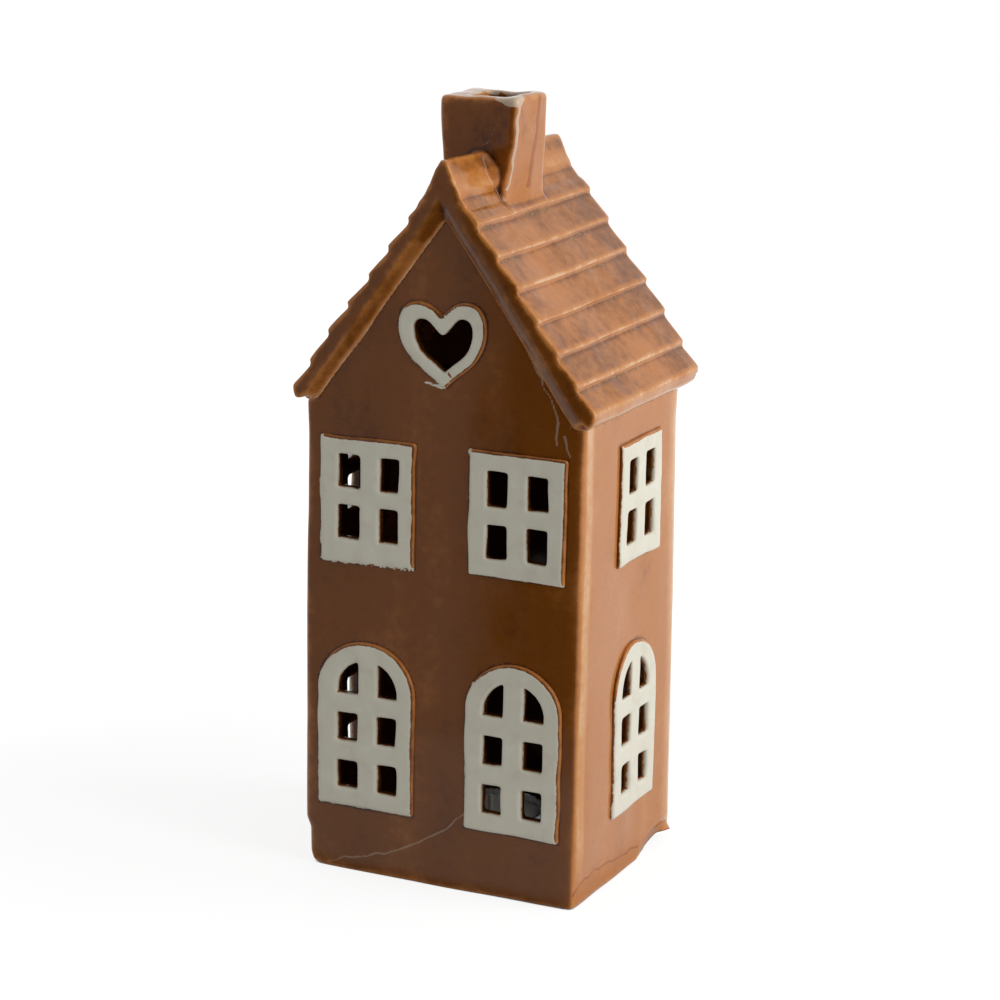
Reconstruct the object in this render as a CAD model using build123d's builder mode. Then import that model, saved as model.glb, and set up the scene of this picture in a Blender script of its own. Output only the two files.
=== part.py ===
"""Tealight house: a glazed earthenware town house, open below, that stands over its tealight.

Millimetres. +Z is up, the front gable faces -Y, +X is to the right of someone facing the front.
The origin is on the standing surface, under the middle of the house.
The ceramic is made in the sections that a potter lutes together; the tealight stands by itself inside.
"""

import os
from math import cos, radians, sin, sqrt, tan

from build123d import *

os.makedirs("parts", exist_ok=True)

# Walls
house_w = 100.0  # outside width, gable walls
house_d = 82.0  # outside depth over both gable walls
wall = 3.2  # thickness of every cast wall
eaves_h = 163.0  # top of the side walls
corner_r = 1.8  # rounding of the upright corners

# Roof
roof_pitch = 54.0  # degrees
eave_lip_up = 6.8  # lowest course's lip above the top of the side walls
eave_out = 5.0  # lip beyond the side wall
verge_out = 3.5  # slab beyond the gable wall
slab_t = 6.0  # slab, square to the slope, from the line of the lips to its underside
course_count = 7
course_x = 7.15  # lip to lip, measured across
last_course_share = 0.8  # the course at the eave is shorter than the others
course_step = 1.8  # height of each step, square to the slope
lip_r = 0.9
valley_r = 0.5
verge_r = 0.4  # rounding along the verge
eave_drop = 4.0  # height of the eave's rounded end below its lip
eave_tuck = 0.7  # how far that end leans in
eave_r = 1.6

# Ridge
cap_half = 7.7  # ridge middle to the cap's lip
cap_drop = 8.4  # cap's lip below the peak of the lips' line
shoulder_half = 6.9  # ridge middle to the shoulder of the cap
shoulder_drop = 4.6
cap_peak = 3.0  # where the flanks would meet, above the peak of the lips' line
cap_bed_half = 7.2  # the courses start here, under the cap's lip
cap_r = 4.1  # rounding along the ridge
shoulder_r = 2.0
cap_lip_r = 1.0

# Strips under the verge
barge_w = 4.9  # square to the slope
barge_nose = 0.7  # flat part next to the slab
barge_step = 0.7  # step down to the gable wall
barge_back = 0.2  # set back behind the slab's edge
barge_past = 0.3  # outer corner of each lower end, past the side wall

# Chimney
chimney_up = 18.7  # top above the peak of the lips' line
chimney_x = -0.8  # luted a touch left of the ridge
chimney_front = 17.2  # front face ahead of the middle of the house
chimney_w = 27.5  # across the ridge, at the top
chimney_l = 25.4  # along the ridge, at the top
chimney_foot_in = 1.1  # each side draws in this much at the foot
chimney_foot_out = 2.2  # the rear spreads this much at the foot
chimney_t = 4.2  # wall round the flue
chimney_r = 2.2  # upright corners
chimney_top_r = 1.6  # top edges
chimney_seat = 3.0  # let into the roof, square to the slope
flue_r = 3.0

# Windows
relief = 1.1  # window frames and heart stand this far off the wall
relief_r = 0.6  # rounding of their outer edge
window_w = 34.5
window_x = 27.0  # middle of each front window from the middle of the wall
right_window_y = 6.0  # middle of the right wall's windows, behind the middle of the wall
left_window_y = -3.3  # the same on the left wall
pane_w = 7.5
border = 6.2  # frame beside the panes
left_window_up = 2.7  # the left wall's windows stand this much higher than the others
left_pane_w = 9.8  # the left wall's panes are cut wider
left_border = 5.2
pane_r = 0.7

upright_gap = 10.2  # top of the upright windows below the top of the side walls
upright_h = 41.8
upright_pane_h = 11.7
upright_bar = 5.8  # bar between the two rows

arched_foot = 23.2  # bottom of the arched windows
arched_h = 58.8
arched_sill = 6.2  # frame below the lowest row
arched_pane_h = 10.4
arched_bar = 6.6  # bars between the rows

# Heart
heart_w = 31.3
heart_tip_share = 0.1176  # height of the border's lower tip, side wall's top to gable's peak
heart_h = 28.4  # tip to the top of the lobes
heart_border = 5.0
heart_tip_border = 5.4  # the border is deeper at the tip
heart_r = 1.0  # rounding of the tip and the dip
heart_lean = 2.2  # degrees, to the left
dip_slope = 44.0  # degrees, of the border as it leaves the dip
tip_slope = 49.0  # degrees, of the border as it reaches the tip
heart_flank_share = (0.70, 0.335)  # where each lower flank passes
# top of a lobe out from the middle, height of the dip, height of the widest place
border_shares = (0.58, 0.84, 0.73)
hole_shares = (0.70, 0.69, 0.80)

# Scoop at the foot of the right wall
scoop_y = 29.0  # middle of the scoop, behind the middle of the house
scoop_l = 31.0
scoop_h = 7.4
scoop_deep = 2.1

# Tealight
tealight_r = 19.0
tealight_h = 15.5
cup_t = 0.3
rim_w = 0.7  # rolled rim
foot_ring_r = 15.0  # pressed ring in the cup's bottom
foot_ring_h = 0.8
wax_h = 13.2
wax_gap = 0.15  # wax to cup
wax_dish = 0.6  # the wax sinks towards the wick
wick_r = 0.9
wick_out = 6.5  # wick above the wax
sustainer_r = 6.5
sustainer_t = 0.3
neck_r = 1.7
neck_h = 3.2
fit_gap = 0.06  # round the wick and its holder

# Overrun of every cut
over = 1.0

# Worked out
half_w = house_w / 2
half_d = house_d / 2
inner_w = half_w - wall
inner_d = half_d - wall
roof_half_d = half_d + verge_out
slope = radians(roof_pitch)
rise = tan(slope)
lip_x = half_w + eave_out
eave_lip_h = eaves_h + eave_lip_up
ridge_h = eave_lip_h + lip_x * rise
chimney_h = ridge_h + chimney_up
upright_foot = eaves_h - upright_gap - upright_h
under_h = ridge_h - slab_t / cos(slope)
bed_h = ridge_h - course_step / cos(slope)
heart_tip = eaves_h + (under_h - eaves_h) * heart_tip_share
barge_end = half_w + barge_past
eave_end = (lip_x - eave_tuck, eave_lip_h - eave_drop)
inward = (-sin(slope), -cos(slope))  # square to the right slope, into the roof
chimney_y = (chimney_l / 2) - chimney_front


def on_slope(x: float, peak: float) -> float:
    """Height over x of a line that falls at the roof's pitch from peak."""
    return peak - x * rise


def front_plane(x: float) -> Plane:
    """Face of the front wall: drawn across and up, raised towards the viewer."""
    return Plane(origin=(x, -half_d, 0), x_dir=(1, 0, 0), z_dir=(0, -1, 0))


def right_plane(y: float) -> Plane:
    """Face of the right wall."""
    return Plane(origin=(half_w, y, 0), x_dir=(0, 1, 0), z_dir=(1, 0, 0))


def left_plane(y: float, up: float) -> Plane:
    """Face of the left wall, drawn from a height."""
    return Plane(origin=(-half_w, y, up), x_dir=(0, -1, 0), z_dir=(-1, 0, 0))


# Window outlines and panes, drawn about the middle of the window at the height of the standing surface


def upright_outline(plane: Plane) -> Sketch:
    """Outline of an upright window frame."""
    with BuildSketch(plane) as outline:
        with Locations((0, upright_foot + upright_h / 2)):
            Rectangle(window_w, upright_h)
    return outline.sketch


def upright_panes(plane: Plane, pane: float, side: float) -> Sketch:
    """The four panes of an upright window, pane wide, with side of frame beside them."""
    across = window_w / 2 - side - pane / 2
    up = (upright_bar + upright_pane_h) / 2
    middle = upright_foot + upright_h / 2
    with BuildSketch(plane) as panes:
        with Locations(*[(x, middle + z) for x in (-across, across) for z in (-up, up)]):
            RectangleRounded(pane, upright_pane_h, pane_r)
    return panes.sketch


def arched_outline(plane: Plane) -> Sketch:
    """Outline of an arched window frame: upright sides under a half round."""
    spring = arched_foot + arched_h - window_w / 2
    with BuildSketch(plane) as outline:
        with BuildLine():
            Polyline((-window_w / 2, spring), (-window_w / 2, arched_foot), (window_w / 2, arched_foot),
                     (window_w / 2, spring))
            ThreePointArc((window_w / 2, spring), (0, arched_foot + arched_h), (-window_w / 2, spring))
        make_face()
    return outline.sketch


def arched_panes(plane: Plane, pane: float, side: float) -> Sketch:
    """Two rows of panes under a pair of fanlights that follow the arch."""
    far = window_w / 2 - side
    near = far - pane
    middle = (far + near) / 2
    spring = arched_foot + arched_h - window_w / 2
    first = arched_foot + arched_sill + arched_pane_h / 2
    row = arched_pane_h + arched_bar
    fan = first + 2 * row - arched_pane_h / 2
    crown = spring + sqrt(far ** 2 - near ** 2)
    haunch = spring + sqrt(far ** 2 - middle ** 2)
    with BuildSketch(plane) as panes:
        with Locations(*[(x, z) for x in (-middle, middle) for z in (first, first + row)]):
            RectangleRounded(pane, arched_pane_h, pane_r)
        for hand in (-1, 1):
            with BuildLine():
                Polyline((hand * near, crown), (hand * near, fan), (hand * far, fan), (hand * far, spring))
                ThreePointArc((hand * far, spring), (hand * middle, haunch), (hand * near, crown))
            make_face()
    return panes.sketch


def heart(plane: Plane, width: float, tip: float, top: float, shares: tuple) -> Sketch:
    """Heart of a width between two heights; shares place its lobes, their dip and the widest place."""
    half = width / 2
    height = top - tip
    lobe = half * shares[0]
    dip = tip + height * shares[1]
    widest = tip + height * shares[2]
    flank = (half * heart_flank_share[0], tip + height * heart_flank_share[1])
    with BuildSketch(plane) as shape:
        for hand in (-1, 1):
            rising = (hand * cos(radians(dip_slope)), sin(radians(dip_slope)))
            closing = (-hand * cos(radians(tip_slope)), -sin(radians(tip_slope)))
            with BuildLine():
                Spline((0, dip), (hand * lobe, top), (hand * half, widest), tangents=(rising, (0, -1)))
                Spline((hand * half, widest), (hand * flank[0], flank[1]), (0, tip),
                       tangents=((0, -1), closing))
                Line((0, tip), (0, dip))
            make_face()
        fillet(shape.vertices().filter_by_position(Axis.X, -heart_r / 2, heart_r / 2), heart_r)
    return shape.sketch


heart_top = heart_tip + heart_h
lean = Axis((0, 0, heart_tip), (0, -1, 0))
border_shape = heart(front_plane(0), heart_w, heart_tip, heart_top, border_shares)
heart_outline = border_shape.rotate(lean, heart_lean)
hole_shape = heart(front_plane(0), heart_w - 2 * heart_border, heart_tip + heart_tip_border,
                   heart_top - heart_border, hole_shares)
heart_hole = hole_shape.rotate(lean, heart_lean)

# Every window: name, outline and panes on its own wall
windows = {}
for side_name, side_x in (("left", -window_x), ("right", window_x)):
    face = front_plane(side_x)
    windows[f"front_upper_{side_name}_window"] = (upright_outline(face),
                                                upright_panes(face, pane_w, border))
    windows[f"front_lower_{side_name}_window"] = (arched_outline(face),
                                                arched_panes(face, pane_w, border))
right_face = right_plane(right_window_y)
windows["right_upper_window"] = (upright_outline(right_face), upright_panes(right_face, pane_w, border))
windows["right_lower_window"] = (arched_outline(right_face), arched_panes(right_face, pane_w, border))
left_face = left_plane(left_window_y, left_window_up)
windows["left_upper_window"] = (upright_outline(left_face),
                                upright_panes(left_face, left_pane_w, left_border))
windows["left_lower_window"] = (arched_outline(left_face),
                                arched_panes(left_face, left_pane_w, left_border))


# Gable walls: five-sided, with shoulders that stand inside the roof's heels
gable_points = [
    (-half_w, 0),
    (half_w, 0),
    (half_w, eaves_h),
    (inner_w, eaves_h),
    (inner_w, on_slope(inner_w, under_h)),
    (0, under_h),
    (-inner_w, on_slope(inner_w, under_h)),
    (-inner_w, eaves_h),
    (-half_w, eaves_h),
]

# The scoop's tool is a barrel that lies along the foot of the right wall
scoop_big_r = (scoop_h ** 2 + scoop_deep ** 2) / (2 * scoop_deep)
scoop_axis_x = half_w + scoop_big_r - scoop_deep
with BuildPart() as scoop:
    with BuildSketch(Plane.XY) as scoop_profile:
        with BuildLine():
            Polyline((half_w, scoop_y - scoop_l / 2), (scoop_axis_x, scoop_y - scoop_l / 2),
                     (scoop_axis_x, scoop_y + scoop_l / 2), (half_w, scoop_y + scoop_l / 2))
            ThreePointArc((half_w, scoop_y + scoop_l / 2), (half_w - scoop_deep, scoop_y),
                          (half_w, scoop_y - scoop_l / 2))
        make_face()
    revolve(axis=Axis((scoop_axis_x, 0, 0), (0, 1, 0)))

with BuildPart() as front_wall:
    with BuildSketch(front_plane(0)) as front_face:
        with BuildLine():
            Polyline(*gable_points, close=True)
        make_face()
    extrude(amount=-wall)
    corners = front_wall.edges().filter_by(Axis.Z).group_by(Axis.Y)[0]
    fillet([corners.sort_by(Axis.X)[0], corners.sort_by(Axis.X)[-1]], corner_r)
    for name, (outline, panes) in windows.items():
        if name.startswith("front"):
            extrude(panes, amount=wall + over, both=True, mode=Mode.SUBTRACT)
    extrude(heart_hole, amount=wall + over, both=True, mode=Mode.SUBTRACT)
front_wall.part.label = "front_wall"
export_step(front_wall.part, "parts/front_wall.step")

with BuildPart() as rear_wall:
    with BuildSketch(Plane.XZ.offset(-inner_d)) as rear_face:
        with BuildLine():
            Polyline(*gable_points, close=True)
        make_face()
    extrude(amount=-wall)
    corners = rear_wall.edges().filter_by(Axis.Z).group_by(Axis.Y)[-1]
    fillet([corners.sort_by(Axis.X)[0], corners.sort_by(Axis.X)[-1]], corner_r)
    add(scoop.part, mode=Mode.SUBTRACT)
rear_wall.part.label = "rear_wall"
export_step(rear_wall.part, "parts/rear_wall.step")

with BuildPart() as right_wall:
    with BuildSketch(right_plane(0)) as right_side:
        with Locations((0, eaves_h / 2)):
            Rectangle(2 * inner_d, eaves_h)
    extrude(amount=-wall)
    extrude(windows["right_upper_window"][1], amount=wall + over, both=True, mode=Mode.SUBTRACT)
    extrude(windows["right_lower_window"][1], amount=wall + over, both=True, mode=Mode.SUBTRACT)
    add(scoop.part, mode=Mode.SUBTRACT)
right_wall.part.label = "right_wall"
export_step(right_wall.part, "parts/right_wall.step")

with BuildPart() as left_wall:
    with BuildSketch(left_plane(0, 0)) as left_side:
        with Locations((0, eaves_h / 2)):
            Rectangle(2 * inner_d, eaves_h)
    extrude(amount=-wall)
    extrude(windows["left_upper_window"][1], amount=wall + over, both=True, mode=Mode.SUBTRACT)
    extrude(windows["left_lower_window"][1], amount=wall + over, both=True, mode=Mode.SUBTRACT)
left_wall.part.label = "left_wall"
export_step(left_wall.part, "parts/left_wall.step")

# Raised window frames, laid on the walls
for name, (outline, panes) in windows.items():
    outward = Axis((0, 0, 0), tuple(outline.face().normal_at()))
    with BuildPart() as window:
        extrude(outline, amount=relief)
        fillet(window.faces().sort_by(outward)[-1].outer_wire().edges(), relief_r)
        extrude(panes, amount=relief, mode=Mode.SUBTRACT)
    window.part.label = name
    export_step(window.part, f"parts/{name}.step")

with BuildPart() as heart_frame:
    extrude(heart_outline, amount=relief)
    fillet(heart_frame.faces().sort_by(Axis.Y)[0].outer_wire().edges(), relief_r)
    extrude(heart_hole, amount=relief, mode=Mode.SUBTRACT)
heart_frame.part.label = "heart_frame"
export_step(heart_frame.part, "parts/heart_frame.step")

# Chimney: a tapered block let into the roof, with the flue cut through it and the roof
flue_w = chimney_w - 2 * chimney_t
flue_l = chimney_l - 2 * chimney_t
seat_h = ridge_h - chimney_seat / cos(slope)
foot_h = on_slope(chimney_w / 2 - chimney_x, seat_h)
with BuildPart() as chimney_block:
    with BuildSketch(Plane.XY.offset(foot_h)) as chimney_foot:
        with Locations((chimney_x, chimney_y + chimney_foot_out / 2)):
            RectangleRounded(chimney_w - 2 * chimney_foot_in, chimney_l + chimney_foot_out, chimney_r)
    with BuildSketch(Plane.XY.offset(chimney_h)) as chimney_head:
        with Locations((chimney_x, chimney_y)):
            RectangleRounded(chimney_w, chimney_l, chimney_r)
    loft(ruled=True)
    fillet(chimney_block.faces().sort_by(Axis.Z)[-1].edges(), chimney_top_r)
    with BuildSketch(Plane.XZ) as below_seat:
        with BuildLine():
            Polyline((0, seat_h), (lip_x, on_slope(lip_x, seat_h)), (-lip_x, on_slope(lip_x, seat_h)),
                     close=True)
        make_face()
    extrude(amount=roof_half_d, both=True, mode=Mode.SUBTRACT)

with BuildPart() as flue:
    with BuildSketch(Plane.XY.offset(eaves_h)) as flue_profile:
        with Locations((chimney_x, chimney_y)):
            RectangleRounded(flue_w, flue_l, flue_r)
    extrude(amount=chimney_h - eaves_h + over)

with BuildPart() as chimney:
    add(chimney_block.part)
    add(flue.part, mode=Mode.SUBTRACT)
chimney.part.label = "chimney"
export_step(chimney.part, "parts/chimney.step")

# Roof slope: each course steps out from under the one above, down to the rounded eave
course_lips = [lip_x - course_x * (last_course_share + count)
               for count in reversed(range(course_count - 1))]
lip_points = [(x, on_slope(x, ridge_h)) for x in course_lips]
bed_end = (cap_bed_half + course_step * inward[0],
           on_slope(cap_bed_half, ridge_h) + course_step * inward[1])
slope_points = [(0, under_h), (0, bed_h), bed_end]
for x, z in lip_points:
    slope_points.append((x, z))
    slope_points.append((x + course_step * inward[0], z + course_step * inward[1]))
slope_points += [(lip_x, eave_lip_h), eave_end, (half_w, eaves_h), (inner_w, eaves_h)]
slope_points.append((inner_w, on_slope(inner_w, under_h)))


def depth(x: float, z: float) -> float:
    """How deep a place on the right slope lies under the line of the lips, square to the slope."""
    return (on_slope(x, ridge_h) - z) * cos(slope)


with BuildPart() as slab:
    with BuildSketch(Plane.XZ) as slope_profile:
        with BuildLine():
            Polyline(*slope_points, close=True)
        make_face()
        fillet(slope_profile.vertices().sort_by(Axis.X)[-2], eave_r)
        fillet([v for v in slope_profile.vertices() if depth(v.X, v.Y) < course_step / 4], lip_r)
        fillet([v for v in slope_profile.vertices()
                if v.X > cap_half and abs(depth(v.X, v.Y) - course_step) < course_step / 10], valley_r)
    extrude(amount=roof_half_d, both=True)
    # beyond the gable walls the slab has no heel
    for end in (half_d, -half_d):
        with BuildSketch(Plane.XZ.offset(end)) as heel_end:
            with BuildLine():
                Polyline((0, under_h), (lip_x, on_slope(lip_x, under_h)), (lip_x, 0), (0, 0), close=True)
            make_face()
        extrude(amount=(verge_out + over) * (1 if end > 0 else -1), mode=Mode.SUBTRACT)
    for verge in (slab.faces().sort_by(Axis.Y)[0], slab.faces().sort_by(Axis.Y)[-1]):
        fillet([e for e in verge.outer_wire().edges()
                if e.center().X > 0
                and depth(e.center().X, e.center().Z) < slab_t - course_step / 2], verge_r)

with BuildPart() as right_roof_slope:
    add(slab.part)
    add(chimney_block.part, mode=Mode.SUBTRACT)
    add(flue.part, mode=Mode.SUBTRACT)
right_roof_slope.part.label = "right_roof_slope"
export_step(right_roof_slope.part, "parts/right_roof_slope.step")

with BuildPart() as left_roof_slope:
    mirror(slab.part, about=Plane.YZ)
    add(chimney_block.part, mode=Mode.SUBTRACT)
    add(flue.part, mode=Mode.SUBTRACT)
left_roof_slope.part.label = "left_roof_slope"
export_step(left_roof_slope.part, "parts/left_roof_slope.step")

# Ridge caps, one on each side of the chimney
with BuildPart() as ridge_cap:
    with BuildSketch(Plane.XZ) as cap_profile:
        with BuildLine():
            Polyline((0, bed_h), bed_end, (cap_half, ridge_h - cap_drop),
                     (shoulder_half, ridge_h - shoulder_drop), (0, ridge_h + cap_peak),
                     (-shoulder_half, ridge_h - shoulder_drop),
                     (-cap_half, ridge_h - cap_drop), (-bed_end[0], bed_end[1]), close=True)
        make_face()
        fillet(cap_profile.vertices().sort_by(Axis.Y)[-1], cap_r)
        fillet([v for v in cap_profile.vertices()
                if shoulder_half - cap_lip_r / 2 < abs(v.X) < cap_half], shoulder_r)
        lips = cap_profile.vertices().sort_by(Axis.X)
        fillet([lips[0], lips[-1]], cap_lip_r)
    extrude(amount=roof_half_d, both=True)
    add(chimney_block.part, mode=Mode.SUBTRACT)
lengths = ridge_cap.solids().sort_by(Axis.Y)
for name, length, end in (("front_ridge_cap", lengths[0], 0), ("rear_ridge_cap", lengths[-1], -1)):
    with BuildPart() as cap:
        add(length)
        rim = cap.faces().sort_by(Axis.Y)[end].outer_wire().edges()
        fillet([e for e in rim if e.center().Z > on_slope(abs(e.center().X), bed_h + over)], verge_r)
    cap.part.label = name
    export_step(cap.part, f"parts/{name}.step")


# Strips under the verges: broad at the wall, bevelled out to a narrow nose under the slab
def chevron(y: float, width: float) -> Sketch:
    """Upside-down V of a width, square to the slope, hung from the slab's underside at y."""
    foot_x = barge_end + width * inward[0]
    foot_z = on_slope(barge_end, under_h) + width * inward[1]
    with BuildSketch(Plane.XZ.offset(-y)) as band:
        with BuildLine():
            Polyline((0, under_h), (barge_end, on_slope(barge_end, under_h)), (foot_x, foot_z),
                     (0, under_h - width / cos(slope)), (-foot_x, foot_z),
                     (-barge_end, on_slope(barge_end, under_h)), close=True)
        make_face()
    return band.sketch


for name, hand in (("front_bargeboard", -1), ("rear_bargeboard", 1)):
    broad = chevron(hand * (half_d + barge_step), barge_w)
    with BuildPart() as bargeboard:
        extrude(broad, amount=barge_step, dir=(0, -hand, 0))
        loft([broad, chevron(hand * (roof_half_d - barge_back), barge_nose)], ruled=True)
    bargeboard.part.label = name
    export_step(bargeboard.part, f"parts/{name}.step")

# Tealight
with BuildPart() as tealight_cup:
    with BuildSketch(Plane.XZ) as cup_profile:
        with BuildLine():
            Polyline((0, foot_ring_h), (foot_ring_r - foot_ring_h, foot_ring_h), (foot_ring_r, 0),
                     (tealight_r, 0), (tealight_r, tealight_h), (tealight_r - cup_t, tealight_h),
                     (tealight_r - cup_t, cup_t), (foot_ring_r + cup_t, cup_t),
                     (foot_ring_r + cup_t - foot_ring_h, foot_ring_h + cup_t),
                     (0, foot_ring_h + cup_t), close=True)
        make_face()
        with Locations((tealight_r - rim_w / 2, tealight_h)):
            Circle(rim_w / 2)
    revolve(axis=Axis.Z)
tealight_cup.part.label = "tealight_cup"
export_step(tealight_cup.part, "parts/tealight_cup.step")

floor_h = foot_ring_h + cup_t
neck_top = floor_h + sustainer_t + neck_h
wax_r = tealight_r - cup_t - wax_gap
with BuildPart() as tealight_wax:
    with BuildSketch(Plane.XZ) as wax_profile:
        with BuildLine():
            Polyline((sustainer_r + wax_gap, floor_h), (wax_r, floor_h), (wax_r, wax_h),
                     (wick_r + fit_gap, wax_h - wax_dish), (wick_r + fit_gap, neck_top + fit_gap),
                     (neck_r + fit_gap, neck_top + fit_gap),
                     (neck_r + fit_gap, floor_h + sustainer_t + fit_gap),
                     (sustainer_r + wax_gap, floor_h + sustainer_t + fit_gap), close=True)
        make_face()
    revolve(axis=Axis.Z)
tealight_wax.part.label = "tealight_wax"
export_step(tealight_wax.part, "parts/tealight_wax.step")

with BuildPart() as wick_sustainer:
    with Locations((0, 0, floor_h)):
        Cylinder(sustainer_r, sustainer_t, align=(Align.CENTER, Align.CENTER, Align.MIN))
    with Locations((0, 0, floor_h + sustainer_t)):
        Cylinder(neck_r, neck_h, align=(Align.CENTER, Align.CENTER, Align.MIN))
        Cylinder(wick_r + fit_gap, neck_h + over, align=(Align.CENTER, Align.CENTER, Align.MIN),
                 mode=Mode.SUBTRACT)
wick_sustainer.part.label = "wick_sustainer"
export_step(wick_sustainer.part, "parts/wick_sustainer.step")

with BuildPart() as tealight_wick:
    with Locations((0, 0, floor_h + sustainer_t)):
        Cylinder(wick_r, wax_h + wick_out - floor_h, align=(Align.CENTER, Align.CENTER, Align.MIN))
    fillet(tealight_wick.faces().sort_by(Axis.Z)[-1].edges(), wick_r / 2)
tealight_wick.part.label = "tealight_wick"
export_step(tealight_wick.part, "parts/tealight_wick.step")
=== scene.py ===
"""Looks of the tealight house: a glazed earthenware town house that stands over a tealight."""

import logging
import math
from dataclasses import dataclass, field
from enum import Enum

import bpy
import numpy as np
from mathutils import Matrix, Vector


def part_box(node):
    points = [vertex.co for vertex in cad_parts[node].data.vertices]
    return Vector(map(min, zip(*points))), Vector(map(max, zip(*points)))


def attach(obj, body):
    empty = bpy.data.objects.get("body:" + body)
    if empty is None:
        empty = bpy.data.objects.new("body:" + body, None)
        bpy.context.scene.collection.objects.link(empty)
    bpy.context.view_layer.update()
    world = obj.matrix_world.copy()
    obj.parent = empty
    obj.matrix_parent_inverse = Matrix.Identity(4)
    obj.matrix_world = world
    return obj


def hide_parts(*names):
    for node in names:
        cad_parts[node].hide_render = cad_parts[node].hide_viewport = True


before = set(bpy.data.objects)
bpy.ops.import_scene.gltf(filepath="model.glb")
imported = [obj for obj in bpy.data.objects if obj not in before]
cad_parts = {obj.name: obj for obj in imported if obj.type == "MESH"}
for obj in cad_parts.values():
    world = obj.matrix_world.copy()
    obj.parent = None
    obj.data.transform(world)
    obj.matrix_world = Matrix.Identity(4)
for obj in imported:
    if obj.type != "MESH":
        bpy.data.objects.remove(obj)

LOG = logging.getLogger("tealight_house")
MM = 0.001
FAR = 1e9
OUTSIDE = -9.0

Array = np.ndarray
Place = tuple[float, float]
Point = tuple[float, float, float]
Colour = tuple[float, float, float]
Socket = bpy.types.NodeSocket
Value = Socket | float


@dataclass(frozen=True)
class Plan:
    """Driving sizes of the house, in mm.

    Attributes:
        half_width: From the middle to a side wall's outer face.
        half_depth: From the middle to a gable wall's outer face.
        eaves: Height of the side walls' top.
        crown: Height at which the slopes' upper faces would meet.
        pitch: The slopes' angle in degrees.
        flue: The middle of the chimney, across and along the house.
        flue_half: Half the flue's width and depth, with the skin of its walls.
        flue_ends: Heights between which the flue's walls count as the inside.
    """

    half_width: float = 50.0
    half_depth: float = 41.0
    eaves: float = 163.0
    crown: float = 245.5
    pitch: float = 54.0
    flue: Place = (-0.8, -4.5)
    flue_half: Place = (10.8, 10.6)
    flue_ends: Place = (200.0, 262.2)


PLAN = Plan()


class Body(Enum):
    """The two bodies that the pieces ride on."""

    HOUSE = "house"
    TEALIGHT = "tealight"


class Side(Enum):
    """A wall that carries raised windows: its axis, the sign of its outward normal and its plane in mm."""

    FRONT = (1, -1.0, -PLAN.half_depth)
    RIGHT = (0, 1.0, PLAN.half_width)
    LEFT = (0, -1.0, -PLAN.half_width)

    @property
    def axis(self) -> int:
        """Index of the coordinate that the wall's plane holds fixed."""
        return self.value[0]

    @property
    def sign(self) -> float:
        """Sign of the outward normal along that axis."""
        return self.value[1]

    @property
    def plane(self) -> float:
        """Place of the wall's outer face along that axis, in mm."""
        return self.value[2]

    def flat(self, points: Array) -> Array:
        """Points as (along the wall, height) pairs in mm."""
        return points[:, [1 - self.axis, 2]]


# Mesh tools


def ramp(value: Array) -> Array:
    """Keeps values between 0 and 1."""
    return np.clip(value, 0.0, 1.0)


def rise(value: Array, low: float, high: float) -> Array:
    """Rises softly from 0 at low to 1 at high."""
    t = ramp((value - low) / (high - low))
    return t * t * (3.0 - 2.0 * t)


def fall(value: Array, low: float, high: float) -> Array:
    """Falls softly from 1 at low to 0 at high."""
    return 1.0 - rise(value, low, high)


def from_flue(points: Array) -> tuple[Array, Array]:
    """How far places lie from the chimney's middle, across and along the house."""
    return np.abs(points[:, 0] - PLAN.flue[0]), np.abs(points[:, 1] - PLAN.flue[1])


def ripple(points: Array, size: float, seed: int) -> Array:
    """Smooth noise over space.

    Args:
        points: Places in mm, one row each.
        size: Distance between the noise's own values, in mm.
        seed: Which noise to draw.

    Returns:
        One value from -1 to 1 for each point.
    """
    grid = np.random.default_rng(seed).uniform(-1.0, 1.0, (32, 32, 32))
    place = points / size
    cell = np.floor(place).astype(int)
    part = place - cell
    part = part * part * (3.0 - 2.0 * part)
    total = np.zeros(len(points))
    for corner in range(8):
        step = np.array([corner & 1, corner >> 1 & 1, corner >> 2 & 1])
        share = np.prod(np.where(step, part, 1.0 - part), axis=1)
        at = (cell + step) % 32
        total += share * grid[at[:, 0], at[:, 1], at[:, 2]]
    return total


def node_arrays(name: str) -> tuple[Array, Array]:
    """Corner places in mm and triangles of a CAD node.

    Args:
        name: The node's name.

    Returns:
        Its vertices, and its triangles as rows of vertex numbers.
    """
    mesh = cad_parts[name].data
    mesh.calc_loop_triangles()
    places = np.empty(len(mesh.vertices) * 3)
    mesh.vertices.foreach_get("co", places)
    corners = np.empty(len(mesh.loop_triangles) * 3, np.int32)
    mesh.loop_triangles.foreach_get("vertices", corners)
    return places.reshape(-1, 3) / MM, corners.reshape(-1, 3)


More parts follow.
